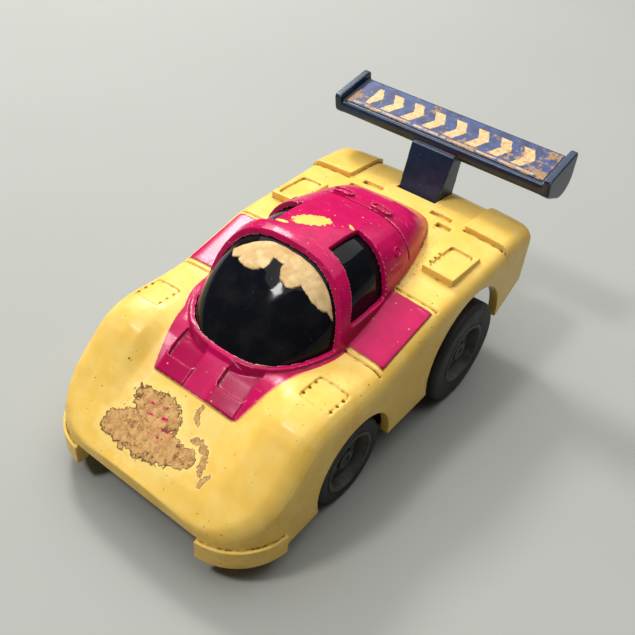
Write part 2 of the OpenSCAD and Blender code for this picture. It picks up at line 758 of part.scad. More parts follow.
// Oval vents on the roof, each with a sunk middle
module roof_vents() {
    vent_s = roof_groove_s + 1.5 * groove_width;
    rim = vent_length / 4;
    both_sides()
        difference() {
            intersection() {
                canopy_solid(-vent_height);
                soft_block([vent_x - vent_width / 2, vent_s, step_z + 1],
                           [vent_x + vent_width / 2, vent_s + vent_length, roof_z + 1], 2 * rim - 0.01);
            }
            difference() {
                soft_block([vent_x - vent_width / 2 + rim, vent_s + rim, step_z],
                           [vent_x + vent_width / 2 - rim, vent_s + vent_length - rim, roof_z + 2],
                           rim - 0.01);
                canopy_solid(-vent_height / 3);
            }
        }
}

// Posts inside the body, with spigots that are staked through the chassis
module body_posts() {
    both_sides()
        for (p = [[front_post_x, front_post_s], [mid_post_x, mid_post_s]]) {
            translate([p.x, p.y, chassis_top])
                cylinder(r = post_r, h = top_z(p.y) - wall / 2 - chassis_top, $fn = 20);
            translate([p.x, p.y, chassis_z])
                cylinder(r = spigot_r, h = chassis_top - chassis_z + wall, $fn = 20);
        }
}

// Lower body before it is hollowed: hood, fenders, doors and deck with their mouldings
module body_outside() {
    difference() {
        union() {
            body_solid();
            deck_additions();
            corner_pads();
        }
        deck_cuts();
    }
    windscreen_lip();
}

// Canopy before it is hollowed, with its vents, groove and window openings
module canopy_outside() {
    difference() {
        union() {
            intersection() {
                canopy_solid();
                across(-far, far) polygon([[hoop_at(0), 0], [far, 0], [far, far], [hoop_at(far), far]]);
            }
            roof_vents();
        }
        both_sides() across(window_top_x, far) window_outline();
        difference() {
            block([-far, roof_groove_s, step_z + 1], [far, roof_groove_s + groove_width, far]);
            canopy_solid(groove_depth);
        }
    }
}

// What is hollow in the body: its inside, the nose's lower edge, the wheel arches and the wing's seat
module body_hollow() {
    seat = fit_gap;
    body_solid(inset = wall, drop = far);
    canopy_solid(inset = canopy_wall, drop = canopy_root);
    block([-pad_inner_x, -1, 0], [pad_inner_x, 2 * wall, nose_edge_z]);
    both_sides() {
        rod([front_axle_s, front_axle_z], front_arch_r, body_width / 2 - 3 * wall, body_width / 2 + 2);
        rod([rear_axle_s, rear_axle_z + rear_arch_lift], rear_arch_r,
            body_width / 2 - 3 * wall, body_width / 2 + 2);
    }
    block([-strut_width / 2 - seat, strut_s - seat, strut_foot],
          [strut_width / 2 + seat, strut_s + strut_depth + seat, roof_z]);
    block([-peg_size / 2 - seat, strut_s + (strut_depth - peg_size) / 2 - seat, 0],
          [peg_size / 2 + seat, strut_s + (strut_depth + peg_size) / 2 + seat, roof_z]);
}

module body_shell() {
    placed() {
        difference() {
            union() {
                color("#f0d27c") body_outside();
                color("#b5175c") canopy_outside();
            }
            body_hollow();
        }
        color("#f0d27c") body_posts();
    }
}

module window_insert() {
    outer = canopy_wall + glass_gap;
    inner = outer + glass_thickness;
    end = window_front_s + window_length + window_rear_lean + 1;
    tab = 1;
    color("#15151a") placed()
        difference() {
            union() {
                difference() {
                    canopy_solid(inset = outer, end = end + outer);
                    canopy_solid(inset = inner, drop = canopy_root, end = end + inner + 1);
                }
                both_sides()
                    for (s = [canopy_front_s + 3.5, door_s - 2.5, door_s + 2, end - 2])
                        intersection() {
                            body_solid(inset = wall);
                            soft_block([canopy_side(s, inner) - 0.3, s - tab, cowl_z - 2 * canopy_root],
                                       [canopy_side(s, outer) + tab, s + tab, far], 0.4);
                        }
            }
            body_solid(inset = wall + glass_thickness, drop = far);
        }
}

// Outline of a rounded rectangle
module round_rect(low, high, r) {
    translate([low.x + r, low.y]) square([high.x - low.x - 2 * r, high.y - low.y]);
    translate([low.x, low.y + r]) square([high.x - low.x, high.y - low.y - 2 * r]);
    for (x = [low.x + r, high.x - r], y = [low.y + r, high.y - r])
        translate([x, y]) circle(r = r);
}

// Places an outline whose origin is the blade's upper leading edge
module on_wing() {
    translate([wing_s, wing_z]) rotate(wing_pitch) children();
}

module strut() {
    under = wing_z - wing_thickness / 2 + (strut_lean - strut_setback + wing_setback) * tan(wing_pitch);
    top_half = (strut_width + strut_flare) / 2;
    hull() {
        block([-strut_width / 2, strut_s, strut_foot],
              [strut_width / 2, strut_s + strut_depth, strut_foot + 0.1]);
        block([-top_half, strut_s + strut_lean, under - 0.1],
              [top_half, strut_s + strut_depth + 0.4, under]);
    }
    block([-peg_size / 2, strut_s + (strut_depth - peg_size) / 2, strut_foot - peg_length],
          [peg_size / 2, strut_s + (strut_depth + peg_size) / 2, strut_foot]);
}

// End plate with a round belly, shallow at the trailing edge
module endplate_outline() {
    r = endplate_r;
    front = -endplate_ahead;
    rear = wing_chord + endplate_ahead - r;
    top = endplate_rise - r;
    hull() {
        translate([front + endplate_front_r, -wing_thickness - endplate_drop + endplate_front_r])
            circle(r = endplate_front_r);
        translate([endplate_belly, endplate_belly_r - endplate_depth]) circle(r = endplate_belly_r);
        for (p = [[front + r, top], [rear, top], [rear, plate_rear_low + r]])
            translate(p) circle(r = r);
    }
}

module rear_wing() {
    half = wing_span / 2;
    color("#22304a") placed() {
        strut();
        across(-half + endplate_thickness, half - endplate_thickness)
            on_wing() round_rect([0, -wing_thickness], [wing_chord, 0], blade_r);
        for (x = [-half, half - endplate_thickness])
            across(x, x + endplate_thickness) on_wing() endplate_outline();
    }
}

module wing_label() {
    half = wing_span / 2 - endplate_thickness - label_border;
    color("#3d5f9a") placed()
        across(-half, half)
            on_wing() translate([label_border + 0.2, 0])
                square([wing_chord - 2 * label_border - 0.4, label_thickness]);
}

// Gear outline with involute flanks, its first tooth at the given phase
function involute(angle) = tan(angle) * 180 / PI - angle;
function gear_points(teeth, addendum, dedendum, phase) =
    let (r = pitch_r(teeth),
         base = r * cos(pressure_angle),
         tip = r + addendum * gear_module,
         root = r - dedendum * gear_module,
         half = 90 / teeth - backlash / r * 90 / PI + involute(pressure_angle),
         steps = 4,
         flank = [for (i = [0:steps])
                      let (rho = max(base, root) + (tip - max(base, root)) * i / steps)
                      [rho, half - involute(acos(min(1, base / rho)))]],
         tooth = concat([[root, half]], flank))
    [for (k = [0:teeth - 1])
         let (mid = phase + 360 * k / teeth)
         each concat([for (p = tooth) p.x * toward(mid - p.y)],
                     [for (i = [len(tooth) - 1:-1:0]) tooth[i].x * toward(mid + tooth[i].y)])];

module wheel_gear(teeth, phase) {
    polygon(gear_points(teeth, wheel_addendum, pinion_addendum + root_room, phase));
}

module pinion_gear(teeth, phase) {
    polygon(gear_points(teeth, pinion_addendum, wheel_addendum + root_room, phase));
}

module axle_pinion() {
    color("#d8d4c8") placed()
        difference() {
            across(axle_pinion_x, axle_pinion_x + pinion_face)
                translate(axle_c) pinion_gear(pinion_teeth, 0);
            rod(axle_c, axle_r, -case_in, case_in);
        }
}

module clutch_gear() {
    color("#d8d4c8") placed()
        difference() {
            across(step_up_x, axle_pinion_x + pinion_face)
                translate(clutch_c) wheel_gear(clutch_teeth, clutch_phase);
            rod(clutch_c, pin_r + running_gap, -case_in, case_in);
        }
}

module clutch_pin() {
    color("#9a9ca0") placed() rod(clutch_c, pin_r, -case_out, case_out);
}

module step_up_gear() {
    color("#d8d4c8") placed()
        difference() {
            union() {
                across(step_up_x, step_up_x + gear_face)
                    translate(step_up_c) wheel_gear(step_up_teeth, step_up_phase);
                across(spring_gear_x, step_up_x)
                    translate(step_up_c) pinion_gear(pinion_teeth, step_up_phase);
            }
            rod(step_up_c, pin_r + running_gap, -case_in, case_in);
        }
}

module step_up_pin() {
    color("#9a9ca0") placed() rod(step_up_c, pin_r, -case_out, case_out);
}

// The arbor has a slot that holds the mainspring's inner end
module spring_gear() {
    slot = spring_thickness / 2 + running_gap;
    color("#d8d4c8") placed()
        difference() {
            union() {
                across(spring_gear_x, spring_gear_x + gear_face)
                    translate(spring_c) wheel_gear(spring_teeth, spring_phase);
                rod(spring_c, arbor_r, -case_out, case_out);
            }
            block([spring_x - running_gap, spring_c.x, spring_c.y - slot],
                  [spring_x + spring_height + running_gap, spring_c.x + 2 * arbor_r, spring_c.y + slot]);
        }
}

// A wound strip whose inner end is bent into the arbor's slot
module mainspring() {
    inner = arbor_r + 2 * running_gap;
    outer = spring_out - spring_thickness - case_gap;
    steps = 24;
    count = ceil(spring_turns * steps);
    half = spring_thickness / 2;
    function coil(i) = inner + half + (outer - inner) * i / count;
    color("#8a8f98") placed()
        across(spring_x, spring_x + spring_height) translate(spring_c) {
            polygon(concat([[arbor_r / 2, half], [inner, half]],
                           [for (i = [1:count]) (coil(i) - half) * toward(i * 360 / steps)],
                           [for (i = [count:-1:1]) (coil(i) + half) * toward(i * 360 / steps)],
                           [[inner + spring_thickness, -half], [arbor_r / 2, -half]]));
        }
}

// Outline of the motor's case, in station and height
module case_outline(inset) {
    polygon([
        [case_front + inset, case_bottom + inset], [case_rear - inset, case_bottom + inset],
        [case_rear - inset, case_step - inset], [case_high_rear - inset, case_step - inset],
        [case_high_rear - inset, case_top - inset], [case_front + inset, case_top - inset]
    ]);
}

module case_holes() {
    rod(axle_c, axle_r + running_gap, -far, far);
    rod(spring_c, arbor_r + running_gap, -far, far);
    rod(step_up_c, pin_r, -far, far);
    across(-far, far)
        translate(clutch_c) rotate(slide_angle) {
            circle(r = pin_r + running_gap);
            translate([0, -pin_r - running_gap]) square([clutch_travel, 2 * (pin_r + running_gap)]);
            translate([clutch_travel, 0]) circle(r = pin_r + running_gap);
        }
}

// One half of the case between x0 and x1, with its end wall on the given side
module case_half(x0, x1, side) {
    in0 = side == right ? x0 + case_wall : x0;
    in1 = side == right ? x1 : x1 - case_wall;
    ear_x0 = max(x0, -ear_width / 2);
    ear_x1 = min(x1, ear_width / 2);
    difference() {
        union() {
            across(x0, x1) case_outline(0);
            block([ear_x0, case_front - ear_length, chassis_top],
                  [ear_x1, case_front, chassis_top + ear_thickness]);
            block([ear_x0, case_rear, chassis_top],
                  [ear_x1, case_rear + ear_length, chassis_top + ear_thickness]);
        }
        across(in0, in1) case_outline(case_wall);
        case_holes();
    }
}

module motor_case_left() {
    color("#c9c6bd") placed() case_half(split_x, case_out, left);
}

module motor_case_right() {
    color("#bdbab1") placed() case_half(-case_out, split_x, right);
}

// Outline of the chassis seen from above, on the left side
module chassis_outline() {
    nose_half = mid_half - nose_corner_r;
    polygon([
        [0, chassis_front], [nose_half, chassis_front], [mid_half - wall, nose_corner_r + wall],
        [mid_half - wall, nose_rear_s], [front_half, nose_rear_s], [front_half, mid_front_s],
        [mid_half, mid_front_s], [mid_half, mid_rear_s], [rear_half, mid_rear_s],
        [rear_half, chassis_rear], [0, chassis_rear]
    ]);
}

// A hook that holds down an ear of the motor's case, facing the given way
module ear_clip(s, facing) {
    height = ear_thickness + fit_gap;
    half = ear_width / 4;
    hook = 0.5;
    thick = 0.8;
    foot = s - facing * fit_gap;
    across(-half, half)
        polygon([
            [foot, chassis_top - wall / 2], [foot, chassis_top + height],
            [foot + facing * hook, chassis_top + height], [foot, chassis_top + height + hook + 0.3],
            [foot - facing * thick, chassis_top + height + hook + 0.3],
            [foot - facing * thick, chassis_top - wall / 2]
        ]);
}

module chassis() {
    block_r = axle_r + bearing_wall;
    color("#232427") placed()
        difference() {
            union() {
                difference() {
                    translate([0, 0, chassis_z])
                        linear_extrude(chassis_thickness) both_sides() chassis_outline();
                    block([-case_out - fit_gap, case_front - fit_gap, 0],
                          [case_out + fit_gap, case_rear + fit_gap, far]);
                    rod([front_axle_s, front_axle_z], axle_r + body_room, -far, far);
                }
                both_sides() {
                    block([bearing_x, front_axle_s - block_r, chassis_z],
                          [front_half, front_axle_s + block_r, front_axle_z]);
                    rod([front_axle_s, front_axle_z], block_r, bearing_x, front_half);
                }
                ear_clip(case_front - ear_length, 1);
                ear_clip(case_rear + ear_length, -1);
            }
            rod([front_axle_s, front_axle_z], axle_r + running_gap, -far, far);
            both_sides()
                for (p = [[front_post_x, front_post_s], [mid_post_x, mid_post_s]])
                    translate([p.x, p.y, 0]) cylinder(r = spigot_r + running_gap, h = far);
        }
}

// Stands a wheel's outline on its axle, with the outer face towards the given side
module wheel_place(side, x, centre) {
    translate([side * x, centre.x, centre.y]) rotate([0, side * 90, 0]) rotate_extrude() children();
}

module tyre_outline(rim_r, r, width) {
    c = tyre_corner_r;
    intersection() {
        translate([rim_r, -width]) square([r - rim_r, width]);
        union() {
            translate([0, -width]) square([r - c, width]);
            translate([0, c - width]) square([r, width - 2 * c]);
            for (z = [-c, c - width])
                translate([r - c, z]) circle(r = c);
        }
    }
}

// Hub with a dished face, a boss and a collar that reaches in to its bearing
module hub_outline(rim_r, width, collar) {
    polygon([
        [0, -dish_depth / 2], [boss_r, -dish_depth / 2], [boss_r, -dish_depth],
        [rim_r - 2 * rim_lip, -dish_depth], [rim_r - rim_lip, 0], [rim_r, 0], [rim_r, -width],
        [collar_r, -width], [collar_r, -width - collar],
        [axle_r, -width - collar], [axle_r, -axle_end], [0, -axle_end]
    ]);
}

module front_tyre(side) {
    color("#1b1b1d") placed()
        wheel_place(side, front_wheel_x, [front_axle_s, front_axle_z])
            tyre_outline(front_rim_r, front_tyre_r, front_tyre_w);
}

module rear_tyre(side) {
    color("#1b1b1d") placed()
        wheel_place(side, rear_wheel_x, axle_c) tyre_outline(rear_rim_r, rear_tyre_r, rear_tyre_w);
}

module front_hub(side) {
    color("#2c2d31") placed()
        wheel_place(side, front_wheel_x, [front_axle_s, front_axle_z])
            hub_outline(front_rim_r, front_tyre_w, wheel_room - layer_gap);
}

module rear_hub(side) {
    color("#2c2d31") placed()
        wheel_place(side, rear_wheel_x, axle_c)
            hub_outline(rear_rim_r, rear_tyre_w, rear_wheel_in - case_out - layer_gap);
}

module front_axle() {
    reach = front_wheel_x - axle_end;
    color("#b9bbc0") placed() rod([front_axle_s, front_axle_z], axle_r, -reach, reach);
}

module rear_axle() {
    reach = rear_wheel_x - axle_end;
    color("#b9bbc0") placed() rod(axle_c, axle_r, -reach, reach);
}

body_shell();
window_insert();
rear_wing();
wing_label();
chassis();
front_axle();
front_hub(left);  // front_hub_left
front_hub(right);  // front_hub_right
front_tyre(left);  // front_tyre_left
front_tyre(right);  // front_tyre_right
rear_axle();
rear_hub(left);  // rear_hub_left
rear_hub(right);  // rear_hub_right
rear_tyre(left);  // rear_tyre_left
rear_tyre(right);  // rear_tyre_right
axle_pinion();
clutch_gear();
clutch_pin();
step_up_gear();
step_up_pin();
spring_gear();
mainspring();
motor_case_left();
motor_case_right();
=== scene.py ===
# %% [markdown]
# # A worn pullback racing car
# The car is a palm-sized toy: one yellow moulding with magenta paint on its hood, canopy and doors,
# a dark window moulding behind the openings, a dark blue wing, and rubber tyres on plastic hubs.
# The working model gives every piece its size and place. This lesson dresses it: the mouldings get
# soft edges, the wheels are modelled again with rounder forms, and each surface gets its finish and wear.

# %% Load the working model
import math
import bpy
import numpy as np
from mathutils import Matrix, Vector, kdtree


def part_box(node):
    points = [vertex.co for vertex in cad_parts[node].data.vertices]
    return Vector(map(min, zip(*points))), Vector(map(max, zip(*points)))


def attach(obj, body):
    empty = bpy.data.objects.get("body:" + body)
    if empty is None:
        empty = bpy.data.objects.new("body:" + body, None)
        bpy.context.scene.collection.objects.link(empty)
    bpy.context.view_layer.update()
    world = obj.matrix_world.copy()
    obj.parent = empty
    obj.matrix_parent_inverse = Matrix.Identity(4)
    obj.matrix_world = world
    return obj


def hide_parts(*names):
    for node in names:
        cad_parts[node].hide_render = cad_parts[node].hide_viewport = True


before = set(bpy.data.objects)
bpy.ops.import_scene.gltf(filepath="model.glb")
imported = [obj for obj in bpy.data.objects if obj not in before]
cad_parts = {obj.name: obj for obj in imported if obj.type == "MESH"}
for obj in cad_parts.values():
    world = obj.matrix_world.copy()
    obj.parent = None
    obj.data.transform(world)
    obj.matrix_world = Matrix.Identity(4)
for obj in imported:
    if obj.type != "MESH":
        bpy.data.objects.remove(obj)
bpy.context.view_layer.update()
bpy.ops.object.select_all(action="DESELECT")
MM = 0.001
print("nodes in the working model:", len(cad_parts))

# %% [markdown]
# ## The camera
# The photographer held the camera over the car's left front corner and looked down on it. A camera can
# be aimed with a constraint, but three angles and a place say it plainly: how far round the car it
# stands, how high it looks from, and how far the picture is tilted.

# %% Place the camera
CAMERA_PLACE = Vector((39.56, -56.53, 68.52)) * MM
CAMERA_ROUND = math.radians(34.81)
CAMERA_HIGH = math.radians(40.67)
CAMERA_TILT = math.radians(-5.34)
CAMERA_LENS = 46.1
CAMERA_NEAREST = 5 * MM


def camera_turn(round_angle, high, tilt):
    """The turn of a camera, from how far round it stands, how high it looks from and its tilt."""
    level = math.cos(high)
    back = Vector((math.sin(round_angle) * level, -math.cos(round_angle) * level, math.sin(high)))
    right = Vector((0, 0, 1)).cross(back).normalized()
    up = back.cross(right)
    tilted_right = right * math.cos(tilt) - up * math.sin(tilt)
    tilted_up = right * math.sin(tilt) + up * math.cos(tilt)
    return Matrix((tilted_right, tilted_up, back)).transposed()


bpy.ops.object.camera_add()
camera = bpy.context.object
camera.matrix_world = camera_turn(CAMERA_ROUND, CAMERA_HIGH, CAMERA_TILT).to_4x4()
camera.location = CAMERA_PLACE
camera.data.lens = CAMERA_LENS
camera.data.sensor_fit = "HORIZONTAL"
camera.data.clip_start = CAMERA_NEAREST
bpy.context.scene.camera = camera
print("camera stands", round(CAMERA_PLACE.length / MM), "mm from the car's middle")

# %% [markdown]
# ## The floor and the light
# The toy stood on a pale grey floor under soft daylight. A large plane is the floor. One wide panel
# overhead stands in for the daylight, because a wide lamp gives the soft shadow that the wheels cast.
# Two small lamps give the forms a bright side and the windscreen a glint, and a faint sky fills the rest.

# %% Lay the floor and hang the lamps
bpy.context.scene.view_settings.view_transform = "Standard"
FLOOR_SIZE = 4.0
LAMP_AIM = Vector((0, 0, 10))
LAMPS = [
    # place in millimetres, width in millimetres, watts
    ((-215, 120, 255), 65, 0.72),
    ((-90, 150, 480), 800, 3.75),
    ((-126, -182, 356), 60, 0.62),
]
SKY_COLOUR, SKY_STRENGTH = (0.95, 0.97, 1.0, 1.0), 0.07
bpy.ops.mesh.primitive_plane_add(size=FLOOR_SIZE)
floor = bpy.context.object
floor.name = "floor"
for place, width, watts in LAMPS:
    turn = (LAMP_AIM - Vector(place)).to_track_quat("-Z", "Y").to_euler()
    bpy.ops.object.light_add(type="AREA", location=Vector(place) * MM, rotation=turn)
    lamp = bpy.context.object.data
    lamp.size = width * MM
    lamp.energy = watts
sky = bpy.data.worlds.new("pale_sky")
sky.use_nodes = True
background = sky.node_tree.nodes["Background"]
background.inputs["Color"].default_value = SKY_COLOUR
background.inputs["Strength"].default_value = SKY_STRENGTH
bpy.context.scene.world = sky
print("lamps:", len(LAMPS))

# %% [markdown]
# ## Sums of shader values
# A finish is built from masks: where paint lies, where an edge is worn, where dirt has settled. Wiring
# each mask by hand is slow to read, so one small class wraps a node's output and lets it stand in a sum
# like a number. Every node after a finish's first comes from its one method, which sets the node's
# settings and then its inputs.

# %% A shader value that can be added and multiplied
class Wire:
    """One output of a shader node."""

    def __init__(self, socket):
        self.socket = socket

    def node(self, kind, inputs=None, out=0, **settings):
        tree = self.socket.id_data
        made = tree.nodes.new("ShaderNode" + kind)
        for name, value in settings.items():
            setattr(made, name, value)
        for key, value in (inputs or {}).items():
            if isinstance(value, Wire):
                tree.links.new(value.socket, made.inputs[key])
            else:
                made.inputs[key].default_value = value
        return Wire(made.outputs[out]) if len(made.outputs) else None

    def side(self, out):
        """Another output of the same node."""
        return Wire(self.socket.node.outputs[out])

    def maths(self, operation, *values):
        return self.node("Math", dict(enumerate(values)), operation=operation)

    def __add__(self, other):
        return self.maths("ADD", self, other)

    def __radd__(self, other):
        return self.maths("ADD", other, self)

    def __sub__(self, other):
        return self.maths("SUBTRACT", self, other)

    def __rsub__(self, other):
        return self.maths("SUBTRACT", other, self)

    def __mul__(self, other):
        return self.maths("MULTIPLY", self, other)

    def __rmul__(self, other):
        return self.maths("MULTIPLY", other, self)

    def __truediv__(self, other):
        return self.maths("DIVIDE", self, other)

    def __pow__(self, power):
        return self.maths("POWER", self, power)

    def __abs__(self):
        return self.maths("ABSOLUTE", self)

    def least(self, other):
        return self.maths("MINIMUM", self, other)

    def most(self, other):
        return self.maths("MAXIMUM", self, other)

    def fold(self, width):
        """Runs from 0 up to a width and back, over and over."""
        return self.maths("PINGPONG", self, width)

    def ease(self, low, high):
        """0 below low, 1 above high, and smooth between."""
        inputs = {0: self, 1: low, 2: high, 3: 0, 4: 1}
        return self.node("MapRange", inputs, interpolation_type="SMOOTHSTEP")

    def mix(self, under, over):
        """The colour under where this is 0, and over where it is 1."""
        return self.node("Mix", {0: self, 6: under, 7: over}, out=2, data_type="RGBA")


def colour(red, green, blue):
    """A colour as a paint chart gives it, from 0 to 255, as the shader wants it."""
    parts = [c / 255 for c in (red, green, blue)]
    return tuple(c / 12.92 if c <= 0.04045 else ((c + 0.055) / 1.055) ** 2.4 for c in parts) + (1.0,)


print("shader sums are ready")

# %% [markdown]
# ## Starting and ending a finish
# Each finish reads the place of a point on its piece in millimetres, so a speck or a scratch keeps its
# real size. Noise gives uneven wear, and small cells give specks. Both are wanted in nearly every finish.

# %% Helpers for finishes
def begin(name):
    """A new material, the place on its piece in millimetres, and the way the surface faces."""
    material = bpy.data.materials.new(name)
    material.use_nodes = True
    tree = material.node_tree
    tree.nodes.clear()
    place = tree.nodes.new("ShaderNodeTexCoord")
    facing = Wire(place.outputs["Normal"])
    here = Wire(place.outputs["Object"])
    return material, here.node("VectorMath", {0: here, 3: 1 / MM}, operation="SCALE"), facing


def end(material, here, relief, depth, **sockets):
    """Joins values to the shader. relief is a height from 0 to 1, and depth its size in millimetres."""
    inputs = {name.replace("_", " "): value for name, value in sockets.items()}
    if relief is not None:
        inputs["Normal"] = here.node("Bump", {"Strength": 1.0, "Distance": depth * MM, "Height": relief})
    shader = here.node("BsdfPrincipled", inputs)
    here.node("OutputMaterial", {"Surface": shader})
    return material


def noise(here, scale, detail=3.0, rough=0.55):
    return here.node("TexNoise", {"Vector": here, "Scale": scale, "Detail": detail, "Roughness": rough})


def specks(here, scale, share, size):
    """Specks of uneven size and outline in a share of the cells, thicker in some places than others."""
    cell = here.node("TexVoronoi", {"Vector": here, "Scale": scale, "Randomness": 1.0})
    lot = here.node("SeparateColor", {0: cell.side(1)})
    crowd = noise(here, scale * 0.15, 2.0).ease(0.35, 0.65)
    chosen = (lot + crowd * share).ease(1.0, 1.01)
    reach = size * (0.3 + 0.7 * lot.side(1))
    outline = cell + (noise(here, scale * 4, 2.0) - 0.5) * size
    return (1 - (outline / reach).ease(0.6, 1.0)) * chosen


def axes(here):
    apart = here.node("SeparateXYZ", {0: here})
    return apart, apart.side(1), apart.side(2)


def attribute(here, name):
    return here.node("Attribute", out=2, attribute_type="GEOMETRY", attribute_name=name)


def wear_finish(piece, material):
    piece.data.materials.clear()
    piece.data.materials.append(material)


floor_finish, here, facing = begin("pale_floor")
pale = noise(here, 0.02).mix(colour(158, 159, 153), colour(164, 165, 159))
wear_finish(floor, end(floor_finish, here, None, 0.0, Base_Color=pale, Roughness=0.9))
print("floor finish is on")

# %% [markdown]
# ## Softening a moulding
# A moulded toy has no sharp edge: the mould's corners are rounded by a tenth of a millimetre or two, and
# handling rounds them more. A bevel would do this on a simple block, but this body is a web of small
# cuts. So a copy of the working shape is rebuilt from fine voxels, which closes and rounds everything
# alike, then smoothed. Broad surfaces get many more passes than the details, so that their flats flow
# together while grooves and rims stay. Each copy also remembers where its edges are, for the wear.

# %% Helpers that act on a piece
def make_active(piece):
    bpy.ops.object.select_all(action="DESELECT")
    piece.select_set(True)
    bpy.context.view_layer.objects.active = piece


def apply_modifier(piece, kind, **settings):
    make_active(piece)
    modifier = piece.modifiers.new(kind.lower(), kind)
    for name, value in settings.items():
        setattr(modifier, name, value)
    bpy.ops.object.modifier_apply(modifier=modifier.name)


def merged_copy(node, name):
    """A copy of a working piece whose loose triangles are joined."""
    piece = bpy.data.objects.new(name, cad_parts[node].data.copy())
    bpy.context.scene.collection.objects.link(piece)
    make_active(piece)
    bpy.ops.mesh.customdata_custom_splitnormals_clear()
    bpy.ops.object.mode_set(mode="EDIT")
    bpy.ops.mesh.select_all(action="SELECT")
    bpy.ops.mesh.remove_doubles(threshold=1e-7)
    bpy.ops.object.mode_set(mode="OBJECT")
    return piece


print("helpers that act on a piece are ready")

# %% [markdown]
# ### Details and broad surfaces
# The working shape knows its sharp edges, and the rebuilt one doesn't. So points are strewn along the
# sharp edges first, and each rebuilt vertex is then smoothed by how far it lies from the nearest point.

# %% Find the details and the broad surfaces
THIN_FACE = 1e-10  # square metres, below which a face's direction can't be trusted
BROAD_STEPS = 10


def sharp_points(piece, angle, step):
    """Points along the edges that turn by more than an angle."""
    mesh = piece.data
    faces_of = {}
    for face in mesh.polygons:
        for key in face.edge_keys:
            faces_of.setdefault(key, []).append(face)
    limit = math.cos(math.radians(angle))
    points = []
    for (a, b), faces in faces_of.items():
        thin = min(f.area for f in faces) < THIN_FACE
        if len(faces) == 2 and not thin and faces[0].normal.dot(faces[1].normal) < limit:
            start, stop = mesh.vertices[a].co, mesh.vertices[b].co
            count = max(1, int((stop - start).length / step))
            points += [start.lerp(stop, i / count) for i in range(count + 1)]
    return points


def broad_group(piece, points, near, far):
    """A vertex group that grows from 0 beside the sharp points to 1 away from them."""
    tree = kdtree.KDTree(len(points))
    for i, point in enumerate(points):
        tree.insert(point, i)
    tree.balance()
    levels = [[] for _ in range(BROAD_STEPS + 1)]
    for vertex in piece.data.vertices:
        distance = tree.find(vertex.co)[2]
        share = min(1, max(0, (distance - near) / (far - near)))
        levels[round(BROAD_STEPS * share)].append(vertex.index)
    group = piece.vertex_groups.new(name="broad")
    for level, members in enumerate(levels):
        group.add(members, level / BROAD_STEPS, "REPLACE")
    return group.name


print("detail helpers are ready")

# %% [markdown]
# ### Edges and hollows
# Paint wears off edges, and dirt stays in hollows. Blender has a pointiness value for this, but it changes
# with how fine the mesh is. Here each vertex keeps how sharply the surface bends, measured along the
# edges that meet there, and the finishes read it as an attribute.

# %% Mark the edges and soften a moulding
EDGE_RADIUS = 0.1 * MM
EDGE_PASSES = 2
SHORTEST = 1e-6  # metres, so that an edge with no length divides nothing by 0
SHARP_ANGLE = 20
NEAR_VOXELS, FAR_VOXELS = 1.5, 5
SMOOTH_FACTOR = 0.5


def vertex_rows(mesh, name):
    """A vector of every vertex, such as its place or its normal, in rows of three."""
    rows = np.empty(len(mesh.vertices) * 3)
    mesh.vertices.foreach_get(name, rows)
    return rows.reshape(-1, 3)


def mark_edges(piece):
    """Keeps EDGE_RADIUS over the radius at each vertex: above 0 on an edge, below 0 in a corner."""
    mesh = piece.data
    count = len(mesh.vertices)
    place, normal = vertex_rows(mesh, "co"), vertex_rows(mesh, "normal")
    pairs = np.empty(len(mesh.edges) * 2, int)
    mesh.edges.foreach_get("vertices", pairs)
    pairs = pairs.reshape(-1, 2)
    start, stop = np.vstack([pairs, pairs[:, ::-1]]).T
    way = place[stop] - place[start]
    length = np.maximum(np.linalg.norm(way, axis=1), SHORTEST)
    bend = -2 * EDGE_RADIUS * (way * normal[start]).sum(1) / length ** 2
    around = np.maximum(np.bincount(start, minlength=count), 1)
    value = np.bincount(start, bend, count) / around
    for _ in range(EDGE_PASSES):
        value = 0.5 * value + 0.5 * np.bincount(start, value[stop], count) / around
    kept = mesh.attributes.new("edge", "FLOAT", "POINT")
    kept.data.foreach_set("value", value.astype(np.float32))


def soften(node, name, voxel, broad_passes, fine_passes, triangles):
    """A rebuilt, smoothed and thinned copy of a working piece, which it stands in for."""
    piece = merged_copy(node, name)
    points = sharp_points(piece, SHARP_ANGLE, voxel)
    apply_modifier(piece, "REMESH", mode="VOXEL", voxel_size=voxel)
    group = broad_group(piece, points, NEAR_VOXELS * voxel, FAR_VOXELS * voxel)
    apply_modifier(piece, "SMOOTH", factor=SMOOTH_FACTOR, iterations=broad_passes, vertex_group=group)
    apply_modifier(piece, "SMOOTH", factor=SMOOTH_FACTOR, iterations=fine_passes)
    piece.vertex_groups.clear()
    ratio = min(1, triangles / (2 * len(piece.data.polygons)))
    apply_modifier(piece, "DECIMATE", ratio=ratio, use_collapse_triangulate=True)
    make_active(piece)
    bpy.ops.object.shade_smooth()
    mark_edges(piece)
    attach(piece, "car")
    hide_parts(node)
    print(name, "has", len(piece.data.polygons), "triangles")
    return piece


print("moulding helpers are ready")

# %% [markdown]
# ## The body
# The body is one injection moulding: hood, fenders, doors, rear deck and canopy frame together, with the
# corner pads at the front. Its copy is rebuilt from voxels of about a tenth of a millimetre, so the
# grooves and notches survive.

# %% Soften the body
BODY_VOXEL = 0.095 * MM
body = soften("body_shell", "moulded_body", BODY_VOXEL, broad_passes=50, fine_passes=1, triangles=195000)
